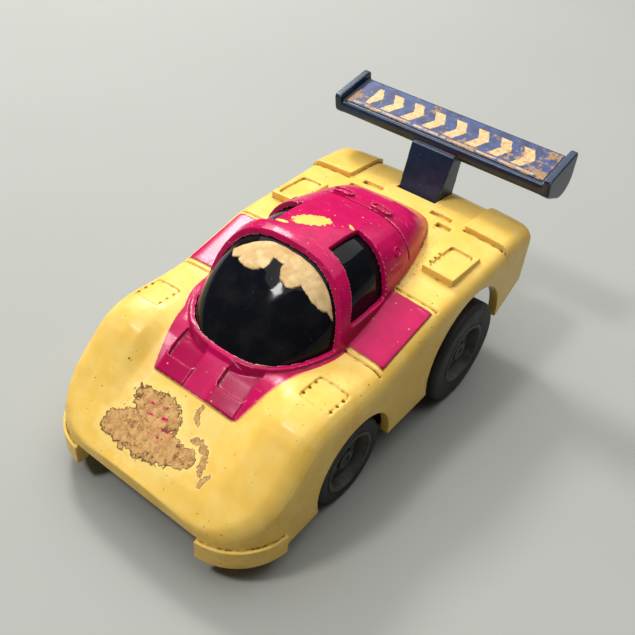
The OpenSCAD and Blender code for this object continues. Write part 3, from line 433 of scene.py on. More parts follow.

# %% [markdown]
# ## The body's finish
# The plastic is yellow all through. The magenta is sprayed through a mask over the hood, the canopy and
# a panel on each door, so its edges follow lines that are easy to write down as distances: along the car
# from the nose, and out from its middle. Handling has worn the paint on the edges down to pink and then
# to the plastic, dirt mixed with painted shade sits in the grooves and along the tail, and a torn scrap
# of paper is left on the nose. The two recessed panels in the hood are painted a deeper magenta as shade.

# %% The lines that the paint follows
# Lengths are in millimetres. A station lies behind the nose and a level above the floor.
MIDDLE = 27.2293  # station of the car's middle
HOOD_FRONT, HOOD_HALF_WIDTH, HOOD_FLARE, HOOD_CURVE = 8.0, 5.3, 0.36, 0.0066
HOOP = 20.2  # station of the hoop over the windscreen
CANOPY_WIDEST, CANOPY_HALF_WIDTH = 20.1, 8.8
CANOPY_AHEAD, CANOPY_BEHIND = 9.6, 21.9  # its lengths from the widest station
CANOPY_TAPER, CANOPY_TAPER_POWER = 4.14, 2.2
DECK_FRONT, DECK_REAR = (20.0, 14.5, 0.198), (29.6, 16.4, 0.029)  # station, level and slope
DECK_CROWN, DECK_FALL = 0.4, 0.0026
DOOR_INNER, DOOR_OUTER, DOOR_START, DOOR_STOP = 8.6, 13.0, 20.62, 28.98

body_finish, here, facing = begin("yellow_plastic_and_magenta_paint")
x, y, z = axes(here)
s = y + MIDDLE
out = abs(x)
up = axes(facing)[2]
bulge = attribute(here, "edge")
ragged = noise(here, 2.5, 4.0) - 0.5
blotch = noise(here, 0.45, 4.0)
fine = noise(here, 11.0, 3.0)
print("the canopy is widest", CANOPY_WIDEST, "mm behind the nose")

# %% [markdown]
# ### The paint's masks
# A mask is the distance to a line, eased from 0 to 1 over a few hundredths of a millimetre. Noise added
# to the distance makes the line ragged, and on the hood's left side a wide ease stands for overspray.

# %% Where the paint lies
def deck_line(s, station, level, slope):
    return level + slope * (s - station)


from_hood = s - HOOD_FRONT
hood_line = HOOD_HALF_WIDTH + HOOD_FLARE * from_hood - HOOD_CURVE * from_hood * from_hood
to_hood_side = hood_line - out + ragged * 0.2
spray = 0.06 + 0.45 * x.ease(2.0, 6.0)
hood = (to_hood_side + (fine - 0.5) * spray).ease(0.02 - spray, 0.06)
hood = hood * (s + ragged * 0.12).ease(HOOD_FRONT + 0.02, HOOD_FRONT + 0.1)
ahead = ((CANOPY_WIDEST - s) / CANOPY_AHEAD).most(0.0)
behind = ((s - CANOPY_WIDEST) / CANOPY_BEHIND).most(0.0)
canopy_line = CANOPY_HALF_WIDTH * (1 - ahead * ahead).most(0.0) ** 0.5
canopy_line = canopy_line - CANOPY_TAPER * behind ** CANOPY_TAPER_POWER
to_canopy_side = canopy_line + 0.25 - out + ragged * 0.1
canopy_part = to_canopy_side.ease(-0.04, 0.04)
deck = deck_line(s, *DECK_FRONT).least(deck_line(s, *DECK_REAR)) + DECK_CROWN - DECK_FALL * x * x
forward = 1 - s.ease(HOOP, HOOP + 0.2)
canopy = canopy_part * (z - deck + ragged * 0.1).ease(0.08, 0.12) * s.ease(HOOP - 0.4, HOOP - 0.2)
into_door = (out - DOOR_INNER).least(DOOR_OUTER - out).least(s - DOOR_START).least(DOOR_STOP - s)
into_door = into_door + ragged * 0.06
door = into_door.ease(-0.03, 0.03)
topside = up.ease(-0.6, -0.3)
paint = (hood.most(canopy_part * from_hood.ease(2.0, 2.2)) * forward).most(door) * topside
paint = paint.most(canopy)
print("paint masks are wired")

# %% [markdown]
# ### Torn paper
# A scrap of torn paper is a few overlapping ovals whose rims are broken up by noise. Bites are ovals that
# are taken out again, and shreds are small ovals left beside the scrap. The paper is creased, its rim is
# brown with a painted shadow along it, and a few streaks of print are left on it.

# %% Paper on the nose
def oval(x, s, middle_x, middle_s, half_x, half_s, turn):
    """1 at the middle of an oval, 0 on its rim, and below 0 outside. The turn is in degrees."""
    cosine, sine = math.cos(math.radians(turn)), math.sin(math.radians(turn))
    across, along = x - middle_x, s - middle_s
    u = (across * cosine + along * sine) / half_x
    v = (along * cosine - across * sine) / half_s
    return 1 - (u * u + v * v) ** 0.5


def blot(x, s, spots):
    """The joined outline of several ovals."""
    joined = oval(x, s, *spots[0])
    for spot in spots[1:]:
        joined = joined.most(oval(x, s, *spot))
    return joined


# Each oval is its distance to the left and its station, two half sizes and a turn
NOSE_PAPER = [
    (-4.5, 2.9, 2.1, 1.5, 8), (-0.8, 3.0, 3.6, 1.75, 4), (-2.1, 5.6, 3.0, 1.45, 0),
    (2.7, 3.3, 1.8, 0.9, 18),
]
NOSE_BITES = [
    (-5.5, 4.9, 0.9, 0.45, 20), (2.6, 2.2, 0.6, 0.5, 0), (1.5, 5.3, 0.6, 0.5, 0),
    (-2.2, 1.2, 0.7, 0.3, 0),
]
NOSE_SHREDS = [
    (1.7, 7.3, 0.3, 0.6, 0), (2.1, 6.5, 0.55, 0.27, -32), (3.4, 5.2, 0.65, 0.3, 15),
    (4.4, 5.0, 0.75, 0.4, -22), (5.1, 4.2, 0.8, 0.4, -62), (5.4, 3.5, 0.45, 0.3, -70),
    (6.25, 3.2, 0.5, 0.3, 55), (6.1, 2.65, 0.35, 0.25, -80),
]
NOSE_PRINT = (-1.4, 4.7, 2.6, 1.3, -8)
STREAK_STEP, STREAK_SLANT = 0.8, 0.12
tear = noise(here, 0.8, 3.0, 0.6) - 0.5
shred = noise(here, 2.3, 3.0, 0.6) - 0.5
paper_edge = blot(x, s, NOSE_PAPER).least(0.3 - blot(x, s, NOSE_BITES)) + tear * 1.3 + shred * 0.5
paper_edge = paper_edge.most(blot(x, s, NOSE_SHREDS) + shred * 2.2)
paper = paper_edge.ease(0.0, 0.05) * up.ease(0.0, 0.3)
# The paper's rim is a brown edge with a painted shadow along it.
paper_rim = paper * (1 - paper_edge.ease(0.05, 0.2))
paper_rim = paper_rim * (0.5 + 0.5 * noise(here, 1.4, 3.0).ease(0.35, 0.55))
folds = 1 - abs(noise(here, 1.1, 4.0, 0.6) - 0.47).ease(0.01, 0.028)
crease = paper * folds * noise(here, 0.6, 2.0).ease(0.42, 0.56)
glue = paper_edge.ease(-0.55, -0.1) * up.ease(0.0, 0.3)
streak = abs((s - STREAK_SLANT * x + 0.35 * tear).fold(STREAK_STEP) - STREAK_STEP / 2)
print_left = (1 - streak.ease(0.1, 0.18)) * oval(x, s, *NOSE_PRINT).ease(0.0, 0.1)
print_left = print_left * noise(here, 1.1, 3.0).ease(0.5, 0.56) * paper
print("ovals in the nose's paper:", len(NOSE_PAPER) + len(NOSE_BITES) + len(NOSE_SHREDS))

# %% [markdown]
# ### Chips, dirt, painted shade and specks
# A chip in the paint is an oval of the same kind as the paper's. Scratches are noise that is stretched
# one way. Dirt mixed with painted shade darkens the hollows and the deck beside the canopy, and more of
# it lies towards the tail and along the sills, as painted shade on the faces that don't look up.

# %% Chips, scratches, dirt with painted shade, and specks
ROOF_CHIPS = [(-0.45, 25.75, 2.1, 1.05, 38), (-2.6, 23.6, 0.8, 0.25, 10), (2.9, 27.9, 0.5, 0.2, -30)]
SCRATCH_TURN, SCRATCH_STRETCH = (0.0, 0.0, 0.7), (0.35, 5.0, 1.0)
TAIL, SILL = (38.0, 50.0), (4.0, 11.0)  # the stations and the levels over which the dirt and painted shade come and go
roof_chip = (blot(x, s, ROOF_CHIPS) + ragged * 0.9).ease(0.0, 0.08) * up.ease(0.4, 0.6)
scored = here.node("Mapping", {"Vector": here, "Rotation": SCRATCH_TURN, "Scale": SCRATCH_STRETCH})
scratches = noise(scored, 1.0, 3.0).ease(0.64, 0.68) * noise(here, 0.3, 2.0).ease(0.45, 0.6)
# Painted shade with dirt: grooves, notches and other hollows are darkened.
hollow = (0 - bulge).ease(0.06, 0.26) * (1 - canopy * 0.8)
edge = bulge.ease(0.14, 0.55)
# Painted shade with dirt smudges: the tail and the lower sides darken where they face away from up.
tail = s.ease(*TAIL) * (1 - up.ease(0.3, 0.8) * 0.7)
low = (1 - z.ease(*SILL)) * (1 - up.ease(0.1, 0.5))
# Painted shade with dirt: a patchy dark band on the deck along the canopy's foot.
beside = (1 - abs(to_canopy_side + 0.35).ease(0.1, 0.9)) * (1 - forward)
beside = beside * noise(here, 4.5, 3.0, 0.7).ease(0.56, 0.64)
dirt_and_shade = hollow * (0.4 + 0.6 * noise(here, 1.3, 3.0).ease(0.35, 0.6))
dirt_and_shade = dirt_and_shade.most(beside * (1 - canopy) * 0.8)
dirt_and_shade = dirt_and_shade.most((tail * 0.3 + low * 0.35) * noise(here, 1.6, 6.0, 0.7).ease(0.45, 0.75))
dark_specks = specks(here, 0.9, 0.4, 0.13).most(specks(here, 2.4, 0.45, 0.2))
pale_specks = specks(here, 1.7, 0.4, 0.2)
print("chips, dirt and specks are wired")

# %% [markdown]
# ### Putting the layers together
# Layers go on in the order they did on the toy: plastic, paint, wear, paper and then dirt, which carries
# painted shade as well. Paint is a little glossier than the plastic, paper and dirt are dull, and paper
# stands a hair above the surface.

# %% The body's layers
YELLOW, YELLOW_PALE, YELLOW_DEEP = colour(240, 196, 92), colour(246, 214, 126), colour(226, 174, 76)
# The deep magenta is both a deeper tone of the paint and painted shade on the two hood panels.
MAGENTA, MAGENTA_DEEP_AND_SHADE, PINK = colour(198, 18, 88), colour(160, 10, 66), colour(240, 132, 168)
TAN, TAN_PALE, BROWN = colour(182, 134, 80), colour(214, 170, 108), colour(92, 62, 30)
# The grime colour is the dark brown of both the dirt and the painted shade.
GRIME_AND_SHADE, SPECK = colour(84, 58, 30), colour(56, 40, 26)
# The two recessed panels in the hood are painted a deeper magenta as shade.
PANEL_MIDDLE, PANEL_HALF_WIDTH, PANEL_STOP = 3.3, 1.6, 13.0  # the two panels in the hood

plastic = (blotch.ease(0.35, 0.7) * 0.5).mix(YELLOW, YELLOW_PALE)
plastic = (noise(here, 0.2, 3.0).ease(0.5, 0.75) * 0.35).mix(plastic, YELLOW_DEEP)
plastic = (glue * 0.7).mix(plastic, YELLOW_PALE)
worn = (edge * 1.2 + (fine - 0.5) * 1.2 + (blotch - 0.5) * 0.9).ease(0.5, 0.95)
bare = (edge + (fine - 0.5) * 1.8 + (blotch - 0.5) * 2.2).ease(1.1, 1.3).most(roof_chip)
magenta = (blotch.ease(0.35, 0.7) * 0.4).mix(MAGENTA, MAGENTA_DEEP_AND_SHADE)
off_panels = abs(out - PANEL_MIDDLE).ease(PANEL_HALF_WIDTH, PANEL_HALF_WIDTH + 0.2)
off_panels = off_panels * s.ease(HOOD_FRONT + 0.1, HOOD_FRONT + 0.3)
# Painted shade: the two recessed hood panels are darkened towards the deep magenta.
shaded = (1 - off_panels) * forward * (1 - s.ease(PANEL_STOP, PANEL_STOP + 1.5))
magenta = (shaded * 0.75).mix(magenta, MAGENTA_DEEP_AND_SHADE)
magenta = (worn * 0.75).most(scratches * 0.5).mix(magenta, PINK)
magenta = (pale_specks * 0.6).mix(magenta, YELLOW_PALE)
painted = paint * (1 - bare)
surface = painted.mix(plastic, magenta)
paper_colour = noise(here, 1.6, 5.0, 0.65).ease(0.35, 0.65).mix(TAN, TAN_PALE)
paper_colour = (specks(here, 1.6, 0.7, 0.34) * 0.7).mix(paper_colour, BROWN)
paper_colour = print_left.mix(paper_colour, MAGENTA)
# The rim's brown edge and painted shadow, and the creases, darken the paper.
paper_colour = paper_rim.most(crease * 0.7).mix(paper_colour, BROWN)
surface = paper.mix(surface, paper_colour)
# Painted shadow: a dark line along the step at the hood's front edge, and one round each raised door
# panel.
hood_rim = (1 - abs(from_hood).ease(0.04, 0.12)) * to_hood_side.ease(0.0, 0.1) * up.ease(0.0, 0.3)
door_rim = (1 - abs(into_door).ease(0.03, 0.09)) * topside
# Dirt with its painted shade, and the painted shadow lines, all mix towards the grime colour.
surface = (dirt_and_shade * 0.85).most(hood_rim * 0.5).most(door_rim * 0.55).mix(surface, GRIME_AND_SHADE)
surface = (dark_specks * (1 - paper) * 0.8).mix(surface, SPECK)

gloss = 0.25 + (fine - 0.5) * 0.1 + (blotch - 0.5) * 0.08 - painted * 0.04 + dirt_and_shade * 0.35 + paper * 0.5
relief = fine * 0.08 + blotch * 0.12 + paper * 0.5 * (0.8 + fine * 0.4) + painted * 0.12
wear_finish(body, end(body_finish, here, relief, 0.05, Base_Color=surface, Roughness=gloss,
                      Specular_IOR_Level=0.17))
print("the body has its finish")

# %% [markdown]
# ### Filler caps
# A small round cap on each side of the canopy stands for a fuel filler. It starts as a short cylinder:
# its outer end is inset to a rim, the middle is pushed in, and the rim's edges are bevelled. Picking
# faces and edges in code, by their place or direction, does what clicking on them would do by hand.

# %% Model a filler cap
CAP_RADIUS, CAP_HEIGHT = 0.58 * MM, 0.3 * MM
CAP_RIM, CAP_SLOPE, CAP_SINK, CAP_BEVEL = 0.17 * MM, 0.04 * MM, 0.09 * MM, 0.04 * MM
SAME = 1e-6  # metres, within which two places count as one
CREASE_ANGLE = math.radians(35)
UP, LEFT = Vector((0, 0, 1)), Vector((1, 0, 0))


def pick_faces(piece, test):
    bpy.ops.object.mode_set(mode="OBJECT")
    for face in piece.data.polygons:
        face.select = test(face)
    bpy.ops.object.mode_set(mode="EDIT")


def pick_edges(piece, test):
    bpy.ops.object.mode_set(mode="OBJECT")
    for item in (*piece.data.polygons, *piece.data.vertices):
        item.select = False
    for line in piece.data.edges:
        line.select = test(*(piece.data.vertices[i].co for i in line.vertices))
    bpy.ops.object.mode_set(mode="EDIT")


def pick_ends(piece, *ways):
    """Picks the many-sided end faces of a turned shape that look in the given ways."""
    def is_end(face):
        return len(face.vertices) > 8 and any(face.normal.dot(way) > 0.9 for way in ways)

    pick_faces(piece, is_end)


def inset_ends(piece, *ways, thickness, depth=0.0):
    pick_ends(piece, *ways)
    bpy.ops.mesh.inset(thickness=thickness, depth=depth)


def close_shape(piece):
    """Ends the editing of a shape, with its faces outwards and its small angles shaded smooth."""
    bpy.ops.mesh.select_all(action="SELECT")
    bpy.ops.mesh.normals_make_consistent(inside=False)
    bpy.ops.object.mode_set(mode="OBJECT")
    make_active(piece)
    bpy.ops.object.shade_smooth_by_angle(angle=CREASE_ANGLE)


bpy.ops.object.select_all(action="DESELECT")
bpy.ops.mesh.primitive_cylinder_add(vertices=48, radius=CAP_RADIUS, depth=CAP_HEIGHT)
cap_model = bpy.context.object
bpy.ops.object.mode_set(mode="EDIT")
bpy.ops.mesh.select_mode(type="FACE")
inset_ends(cap_model, UP, thickness=CAP_RIM)
inset_ends(cap_model, UP, thickness=CAP_SLOPE, depth=-CAP_SINK)
bpy.ops.mesh.select_mode(type="EDGE")
pick_edges(cap_model, lambda a, b: min(a.z, b.z) > 0.49 * CAP_HEIGHT and abs(a.length - b.length) < SAME)
bpy.ops.mesh.bevel(offset=CAP_BEVEL, segments=3, affect="EDGES")
close_shape(cap_model)
print("filler cap has", len(cap_model.data.polygons), "faces")

# %% [markdown]
# A ray from the side finds the place and the direction of the surface under each cap. The caps are
# moulded with the body, so they take its finish.

# %% Set the filler caps on the canopy
CAP_STATION, CAP_LEVEL = 30.8, 19.9
RAY_START = 20  # millimetres out, clear of the body
for hand, side in (("left", 1), ("right", -1)):
    away = Vector((RAY_START * side, CAP_STATION - MIDDLE, CAP_LEVEL)) * MM
    spot, outward = body.ray_cast(away, Vector((-side, 0, 0)))[1:3]
    cap = cap_model.copy()
    cap.data = cap_model.data.copy()
    cap.name = f"filler_cap_{hand}"
    bpy.context.scene.collection.objects.link(cap)
    cap.data.transform(Matrix.Translation(spot) @ outward.to_track_quat("Z", "Y").to_matrix().to_4x4())
    wear_finish(cap, body_finish)
    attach(cap, "car")
bpy.data.objects.remove(cap_model)
print("filler caps are on")

# %% [markdown]
# ## The windows
# One dark, smoked moulding sits behind the windscreen and both side windows. It is softened as the body
# is, and smoothed more, because a glossy dome shows every flat. A strip of torn paper is left along the
# windscreen's top, and it ends where the hoop covers it.

# %% Soften the windows
WINDOW_VOXEL = 0.16 * MM
windows = soften("window_insert", "smoked_windows", WINDOW_VOXEL, broad_passes=60, fine_passes=6,
                 triangles=60000)

# %% [markdown]
# ### The windows' finish
# Smoked plastic is nearly black and reflects the sky. A thin film of dirt dulls it in places, and dust
# lies on it. The paper is the same torn blot as on the nose, but paler, with stains.

# %% Finish the windows
GLASS_PAPER = [
    (-2.2, 19.6, 2.0, 1.75, 0), (-4.2, 20.0, 1.3, 1.4, 0), (2.4, 19.7, 1.5, 1.5, 0),
    (4.9, 20.0, 2.0, 1.2, 0), (0.8, 20.8, 6.6, 1.1, 0), (6.4, 20.6, 1.3, 1.15, 0),
]
HOOP_EDGE, HOOP_LEVEL, HOOP_LEAN = 18.7, 14.5, 0.343  # its front edge's station at a level, and its lean
RIGHT_GAP = 0.9  # on the right, the paper stops this far short of the hoop
glass_finish, here, facing = begin("smoked_window_plastic")
x, y, z = axes(here)
s = y + MIDDLE
tear = noise(here, 0.9, 6.0, 0.66) - 0.5
paper_edge = blot(x, s, GLASS_PAPER) + tear * 0.55
hoop_line = HOOP_EDGE + HOOP_LEAN * (z - HOOP_LEVEL) - RIGHT_GAP * (1 - x.ease(-5.5, -1.0))
paper = paper_edge.ease(0.0, 0.04) * (hoop_line - s + tear * 0.2).ease(0.0, 0.08)
paper_rim = paper * (1 - paper_edge.ease(0.03, 0.14)) * noise(here, 1.4, 3.0).ease(0.35, 0.55)
mottle = noise(here, 0.9, 5.0)
paper_colour = mottle.ease(0.35, 0.65).mix(colour(214, 178, 122), colour(234, 204, 150))
stain = noise(here, 0.6, 4.0).ease(0.52, 0.66)
paper_colour = (stain * 0.45).mix(paper_colour, colour(196, 142, 84))
paper_colour = (paper_rim * 0.8).mix(paper_colour, colour(112, 78, 44))
dust = specks(here, 2.2, 0.3, 0.14).most(specks(here, 4.1, 0.2, 0.16))
film = noise(here, 0.35, 4.0).ease(0.45, 0.75)
smoke = (film * 0.35).mix(colour(16, 17, 22), colour(44, 44, 48))
smoke = (dust * 0.35).mix(smoke, colour(150, 140, 125))
gloss = 0.05 + film * 0.08 + dust * 0.3 + paper * 0.7
relief = noise(here, 0.5, 2.0) * 0.1 + paper * 0.7 + mottle * paper * 0.25
wear_finish(windows, end(glass_finish, here, relief, 0.05, Base_Color=paper.mix(smoke, paper_colour),
                         Roughness=gloss, Specular_IOR_Level=0.14))
print("the windows have their finish")

# %% [markdown]
# ## The wing
# The wing is a dark blue moulding: a strut plugged into the deck, a blade and two end plates. Its edges
# have been rubbed pale.

# %% Soften and finish the wing
WING_VOXEL = 0.115 * MM
wing = soften("rear_wing", "blue_wing", WING_VOXEL, broad_passes=20, fine_passes=8, triangles=60000)
wing_finish, here, facing = begin("dark_blue_plastic")
bulge = attribute(here, "edge")
fine, blotch = noise(here, 9.0, 4.0), noise(here, 0.5, 4.0)
rubbed = (bulge.ease(0.1, 0.45) + (fine - 0.5) * 1.4 + (blotch - 0.5)).ease(0.5, 1.0)
navy = blotch.ease(0.3, 0.7).mix(colour(8, 32, 56), colour(14, 46, 78))
navy = (rubbed * 0.7).mix(navy, colour(118, 140, 164))
navy = (specks(here, 1.6, 0.3, 0.13) * 0.6).mix(navy, colour(150, 140, 120))
wear_finish(wing, end(wing_finish, here, fine * 0.3 + blotch * 0.4, 0.03, Base_Color=navy,
                      Roughness=0.36 + (fine - 0.5) * 0.16 + rubbed * 0.2))

# %% [markdown]
# ### The wing's label
# A worn paper label in blue and tan. The print is a plain row of chevrons behind a thin line, broken up
# where the paper is rubbed through. A folded slope makes the chevrons: it runs up and down across the
# label, and what is high enough is printed.

# %% Finish the label
CHEVRON_STEP, CHEVRON_SLANT = 1.5, 2.6
PRINT_HALF_WIDTH = 11.2
PRINT_FRONT, PRINT_REAR, LINE_PLACE = 0.15, 0.8, 0.08  # shares of the label's depth
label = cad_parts["wing_label"]
label_finish, here, facing = begin("worn_blue_label")
x, y, z = axes(here)
label_low, label_high = (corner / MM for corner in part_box("wing_label"))
along = (y - label_low.y) / (label_high.y - label_low.y)
tear = noise(here, 1.3, 6.0, 0.65)
slant = x + abs(along - 0.5) * CHEVRON_SLANT
chevrons = (slant.fold(CHEVRON_STEP) + (tear - 0.5) * 0.5).ease(0.78, 0.86)
chevrons = chevrons * along.ease(PRINT_FRONT, PRINT_FRONT + 0.03)
chevrons = chevrons * (1 - along.ease(PRINT_REAR, PRINT_REAR + 0.03))
chevrons = chevrons * (1 - abs(x).ease(PRINT_HALF_WIDTH, PRINT_HALF_WIDTH + 0.1))
outline = (1 - abs(along - LINE_PLACE).ease(0.02, 0.05)) * noise(here, 0.7, 5.0, 0.65).ease(0.42, 0.52)
ends = abs(x + 1.5).ease(7.0, 13.0)
scuffed = tear + 0.3 * (noise(here, 0.35, 2.0) - 0.5) + 0.09 * ends + 0.05 * (1 - along)
scuffed = scuffed.ease(0.6, 0.66)
blue = noise(here, 0.8, 4.0).ease(0.35, 0.65).mix(colour(28, 44, 88), colour(50, 72, 124))
tan = noise(here, 3.0, 4.0).ease(0.3, 0.7).mix(colour(232, 196, 136), colour(204, 156, 96))
label_colour = (chevrons * (1 - 0.35 * scuffed)).most(outline * 0.8).mix(blue, tan)
label_colour = (scuffed * (1 - chevrons) * 0.8).mix(label_colour, colour(178, 138, 84))
label_colour = (specks(here, 2.4, 0.5, 0.2) * 0.7).mix(label_colour, colour(24, 26, 36))
wear_finish(label, end(label_finish, here, tear * 0.6 + chevrons * 0.3, 0.03, Base_Color=label_colour,
                       Roughness=0.5 + scuffed * 0.3))
print("the wing and its label have their finish")

# %% [markdown]
# ## Starting a wheel
# Tyres and hubs are round about their axle, so each starts as a cylinder that lies along it. A piece is
# modelled once for each axle, with its outer face to the left, and a copy is turned round for the right.

# %% Helpers for wheels
WHEEL_STEPS = 96
RIM = {"front": 3.5 * MM, "rear": 3.7 * MM}


def wheel_cylinder(name, radius, width):
    """A cylinder along the axle, with its middle at the origin, open for editing."""
    bpy.ops.object.select_all(action="DESELECT")
    bpy.ops.mesh.primitive_cylinder_add(vertices=WHEEL_STEPS, radius=radius, depth=width,
                                        rotation=(0, math.pi / 2, 0))
    piece = bpy.context.object
    piece.name = name
    bpy.ops.object.transform_apply(location=False, rotation=True, scale=True)
    bpy.ops.object.mode_set(mode="EDIT")
    bpy.ops.mesh.select_mode(type="FACE")
    return piece


def distance_out(point):
    return math.hypot(point.y, point.z)


def place_copy(model, node, name, body_name, finish):
    """Puts a copy of a wheel's piece where the working piece is, with its outer face outwards."""
    low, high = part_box(node)
    piece = model.copy()
    piece.data = model.data.copy()
    piece.name = name
    bpy.context.scene.collection.objects.link(piece)
    if low.x + high.x < 0:
        piece.data.transform(Matrix.Rotation(math.pi, 4, "Z"))
    piece.data.transform(Matrix.Translation((low + high) / 2))
    wear_finish(piece, finish)
    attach(piece, body_name)
    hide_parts(node)


print("wheel helpers are ready")

# %% [markdown]
# ## The tyres
# A tyre is a rubber ring with flat sidewalls and a rounded shoulder. A lathe would turn it, and here a
# cylinder does the same work: its ends are inset to the rim, the middle is taken out, the bore is bridged
# and the shoulder is bevelled.

# %% Model a tyre
SHOULDER, SHOULDER_BEVEL = 0.62 * MM, 0.6 * MM
BEAD_WIDTH, BEAD_DEPTH = 0.5 * MM, 0.12 * MM


def model_tyre(name, radius, width, rim):
    tyre = wheel_cylinder(name, radius, width)
    inset_ends(tyre, LEFT, -LEFT, thickness=SHOULDER)
    inset_ends(tyre, LEFT, -LEFT, thickness=radius - SHOULDER - rim - BEAD_WIDTH)
    inset_ends(tyre, LEFT, -LEFT, thickness=BEAD_WIDTH, depth=-BEAD_DEPTH)
    pick_ends(tyre, LEFT, -LEFT)
    bpy.ops.mesh.delete(type="FACE")
    bpy.ops.mesh.select_mode(type="EDGE")
    pick_edges(tyre, lambda a, b: max(distance_out(a), distance_out(b)) < rim + 0.02 * MM)
    bpy.ops.mesh.bridge_edge_loops()
    tread = radius - 0.01 * MM
    pick_edges(tyre, lambda a, b: min(distance_out(a), distance_out(b)) > tread and abs(a.x - b.x) < SAME)
    bpy.ops.mesh.bevel(offset=SHOULDER_BEVEL, segments=5, affect="EDGES")
    bpy.ops.mesh.select_all(action="SELECT")
    bpy.ops.mesh.remove_doubles(threshold=SAME)
    close_shape(tyre)
    print(name, "has", len(tyre.data.polygons), "faces")
    return tyre


print("a tyre's bead is", round(BEAD_WIDTH / MM, 2), "mm wide")

# %% [markdown]
# ### The tyres' finish
# Rubber is dull and nearly black. Dust clings to it, most of all on the sidewalls.

# %% Finish the tyres and put them on
def tyre_finish():
    material, here, facing = begin("dusty_tyre_rubber")
    fine, blotch = noise(here, 8.0, 4.0), noise(here, 0.7, 4.0)
    dust = (abs(axes(facing)[0]).ease(0.3, 0.9) * 0.5 + 0.5) * blotch.ease(0.42, 0.7)
    rubber = (dust * 0.4).mix(colour(20, 20, 23), colour(62, 61, 58))
    rubber = (specks(here, 2.0, 0.3, 0.16) * 0.5).mix(rubber, colour(120, 112, 98))
    return end(material, here, fine * 0.5 + blotch * 0.4, 0.04, Base_Color=rubber,
               Roughness=0.62 + (fine - 0.5) * 0.2 + dust * 0.2)


finish = tyre_finish()
for axle in ("front", "rear"):
    low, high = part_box(f"{axle}_tyre_right")
    model = model_tyre(f"{axle}_tyre_model", (high.z - low.z) / 2, high.x - low.x, RIM[axle])
    for hand in ("left", "right"):
        name = f"{axle}_{hand}_rubber"
        place_copy(model, f"{axle}_tyre_{hand}", name, f"{axle}_wheels", finish)
    bpy.data.objects.remove(model)

# %% [markdown]
# ## The hubs
# A hub is a small dished plastic wheel with a raised rim and a round boss over the axle's end. The dish
# is pushed in with inset, a low step and the boss are pulled out of its floor, and a bevel takes off the
# rim's edges. A collar behind, with a bore for the axle, keeps it off the body.

# %% Model a hub
DISH, RIM_LIP, RIM_BEVEL = 1.1 * MM, 0.35 * MM, 0.07 * MM
STEP_SLOPE, STEP_RISE = 0.12 * MM, 0.15 * MM
BOSS, BOSS_SLOPE = 1.15 * MM, 0.08 * MM
DIMPLE_SLOPE, DIMPLE_SINK = 0.06 * MM, 0.14 * MM
AXLE_RADIUS, BORE_GAP, COLLAR_RADIUS = 0.75 * MM, 0.02 * MM, 1.5 * MM


def model_hub(name, radius, width, collar):
    hub = wheel_cylinder(name, radius, width)
    dish_floor = radius - 2 * RIM_LIP - BOSS
    inset_ends(hub, LEFT, thickness=RIM_LIP)
    inset_ends(hub, LEFT, thickness=RIM_LIP, depth=-DISH)
    inset_ends(hub, LEFT, thickness=dish_floor * 0.45)
    inset_ends(hub, LEFT, thickness=STEP_SLOPE, depth=STEP_RISE)
    inset_ends(hub, LEFT, thickness=dish_floor * 0.55 - STEP_SLOPE)
    inset_ends(hub, LEFT, thickness=BOSS_SLOPE, depth=DISH / 2 - STEP_RISE)
    inset_ends(hub, LEFT, thickness=BOSS * 0.45)
    inset_ends(hub, LEFT, thickness=DIMPLE_SLOPE, depth=-DIMPLE_SINK)
    inset_ends(hub, -LEFT, thickness=radius - COLLAR_RADIUS)
    pick_ends(hub, -LEFT)
    bpy.ops.mesh.extrude_region_move(TRANSFORM_OT_translate={"value": (-collar, 0, 0)})
    inset_ends(hub, -LEFT, thickness=COLLAR_RADIUS - AXLE_RADIUS - BORE_GAP)
    pick_ends(hub, -LEFT)
    bpy.ops.mesh.extrude_region_move(TRANSFORM_OT_translate={"value": (collar, 0, 0)})
    bpy.ops.mesh.select_mode(type="EDGE")
    pick_edges(hub, lambda a, b: abs(a.x - b.x) < SAME and a.x > width / 2 - SAME)
    bpy.ops.mesh.bevel(offset=RIM_BEVEL, segments=3, affect="EDGES")
    close_shape(hub)
    hub.data.transform(Matrix.Translation((collar / 2, 0, 0)))
    print(name, "has", len(hub.data.polygons), "faces")
    return hub


print("a hub's dish is", round(DISH / MM, 2), "mm deep")

# %% [markdown]
# ### The hubs' finish
# Dark plastic with dust round the rim and a paler, rubbed middle. The pattern follows the distance from
# the axle's centre line, as a share of the rim's radius, so each axle has a finish of its own.

# %% Finish the hubs and put them on
def hub_finish(axle):
    low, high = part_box(f"{axle}_hub_right")
    centre = (low + high) / 2 / MM
    material, here, facing = begin(f"{axle}_hub_plastic")
    x, y, z = axes(here)
    far = ((y - centre.y) ** 2 + (z - centre.z) ** 2) ** 0.5 / (RIM[axle] / MM)
    fine, blotch = noise(here, 7.0, 4.0), noise(here, 0.9, 4.0)
    dust = (1 - abs(far - 0.9).ease(0.03, 0.16)) * (0.3 + 0.7 * blotch.ease(0.35, 0.6))
    plastic = blotch.ease(0.35, 0.65).mix(colour(34, 34, 35), colour(48, 48, 46))
    plastic = ((1 - far.ease(0.25, 0.5)) * 0.15).mix(plastic, colour(78, 84, 74))
    plastic = (dust * 0.5).mix(plastic, colour(112, 108, 94))
    return end(material, here, fine * 0.4 + blotch * 0.4, 0.03, Base_Color=plastic,
               Roughness=0.48 + dust * 0.3 + (fine - 0.5) * 0.15)


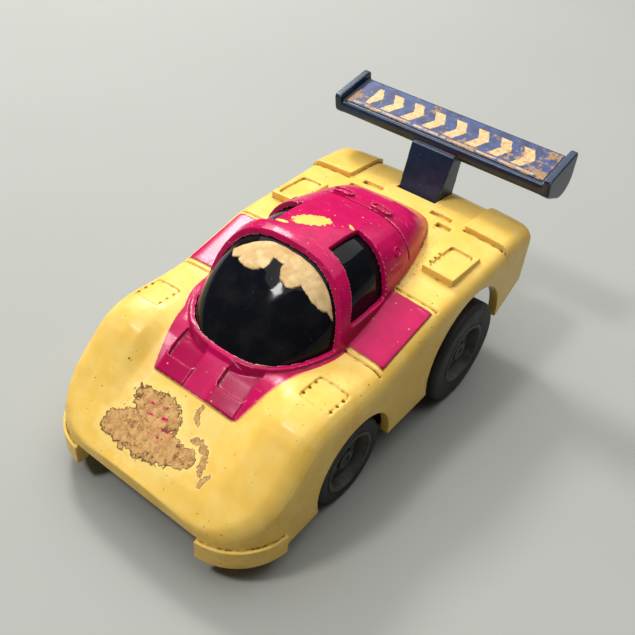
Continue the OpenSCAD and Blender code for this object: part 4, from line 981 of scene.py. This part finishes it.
for axle in ("front", "rear"):
    finish = hub_finish(axle)
    tyre_low, tyre_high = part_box(f"{axle}_tyre_right")
    low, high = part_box(f"{axle}_hub_right")
    width = tyre_high.x - tyre_low.x
    model = model_hub(f"{axle}_hub_model", (high.z - low.z) / 2, width, high.x - low.x - width)
    for hand in ("left", "right"):
        name = f"{axle}_{hand}_hub"
        place_copy(model, f"{axle}_hub_{hand}", name, f"{axle}_wheels", finish)
    bpy.data.objects.remove(model)

# %% [markdown]
# ## The works underneath
# The chassis, axles and spring motor are seen only from below and through the wheel arches. Their working
# shapes are good enough to show, so each just gets its finish: black or grey plastic, drawn steel, white
# nylon and blued spring strip.

# %% Finishes for the works
STEEL_STRETCH = (0.4, 9.0, 9.0)


def plain_plastic(name, dark, pale, rough, grain):
    material, here, facing = begin(name)
    fine, blotch = noise(here, grain, 4.0), noise(here, 0.6, 4.0)
    dust = axes(facing)[2].ease(0.4, 0.9) * blotch.ease(0.45, 0.7)
    base = blotch.ease(0.3, 0.7).mix(dark, pale)
    base = (dust * 0.25).mix(base, colour(140, 130, 112))
    base = (specks(here, 1.5, 0.25, 0.14) * 0.4).mix(base, colour(90, 82, 70))
    return end(material, here, fine * 0.5 + blotch * 0.3, 0.03, Base_Color=base,
               Roughness=rough + (fine - 0.5) * 0.2 + dust * 0.2)


def drawn_steel(name, dark, pale, rough):
    material, here, facing = begin(name)
    stretched = here.node("Mapping", {"Vector": here, "Scale": STEEL_STRETCH})
    lines, blotch = noise(stretched, 1.4, 3.0), noise(here, 0.9, 4.0)
    rust = blotch.ease(0.62, 0.75)
    base = lines.mix(dark, pale)
    base = (rust * 0.5).mix(base, colour(112, 74, 48))
    return end(material, here, lines, 0.008, Base_Color=base, Metallic=1 - rust * 0.6,
               Roughness=rough + (lines - 0.5) * 0.2 + rust * 0.3)


works = [
    (plain_plastic("black_chassis_plastic", colour(26, 26, 28), colour(40, 40, 42), 0.5, 6.0),
     ["chassis"]),
    (plain_plastic("grey_case_plastic", colour(72, 74, 78), colour(92, 94, 97), 0.45, 5.0),
     ["motor_case_left", "motor_case_right"]),
    (plain_plastic("white_gear_nylon", colour(224, 220, 206), colour(238, 236, 226), 0.42, 7.0),
     ["axle_pinion", "clutch_gear", "step_up_gear", "spring_gear"]),
    (drawn_steel("axle_steel", colour(150, 152, 156), colour(196, 198, 202), 0.3),
     ["front_axle", "rear_axle", "clutch_pin", "step_up_pin"]),
    (drawn_steel("blued_spring_strip", colour(70, 76, 96), colour(112, 118, 136), 0.34),
     ["mainspring"]),
]
for material, names in works:
    for name in names:
        wear_finish(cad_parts[name], material)
print("finishes on the works:", sum(len(names) for material, names in works))
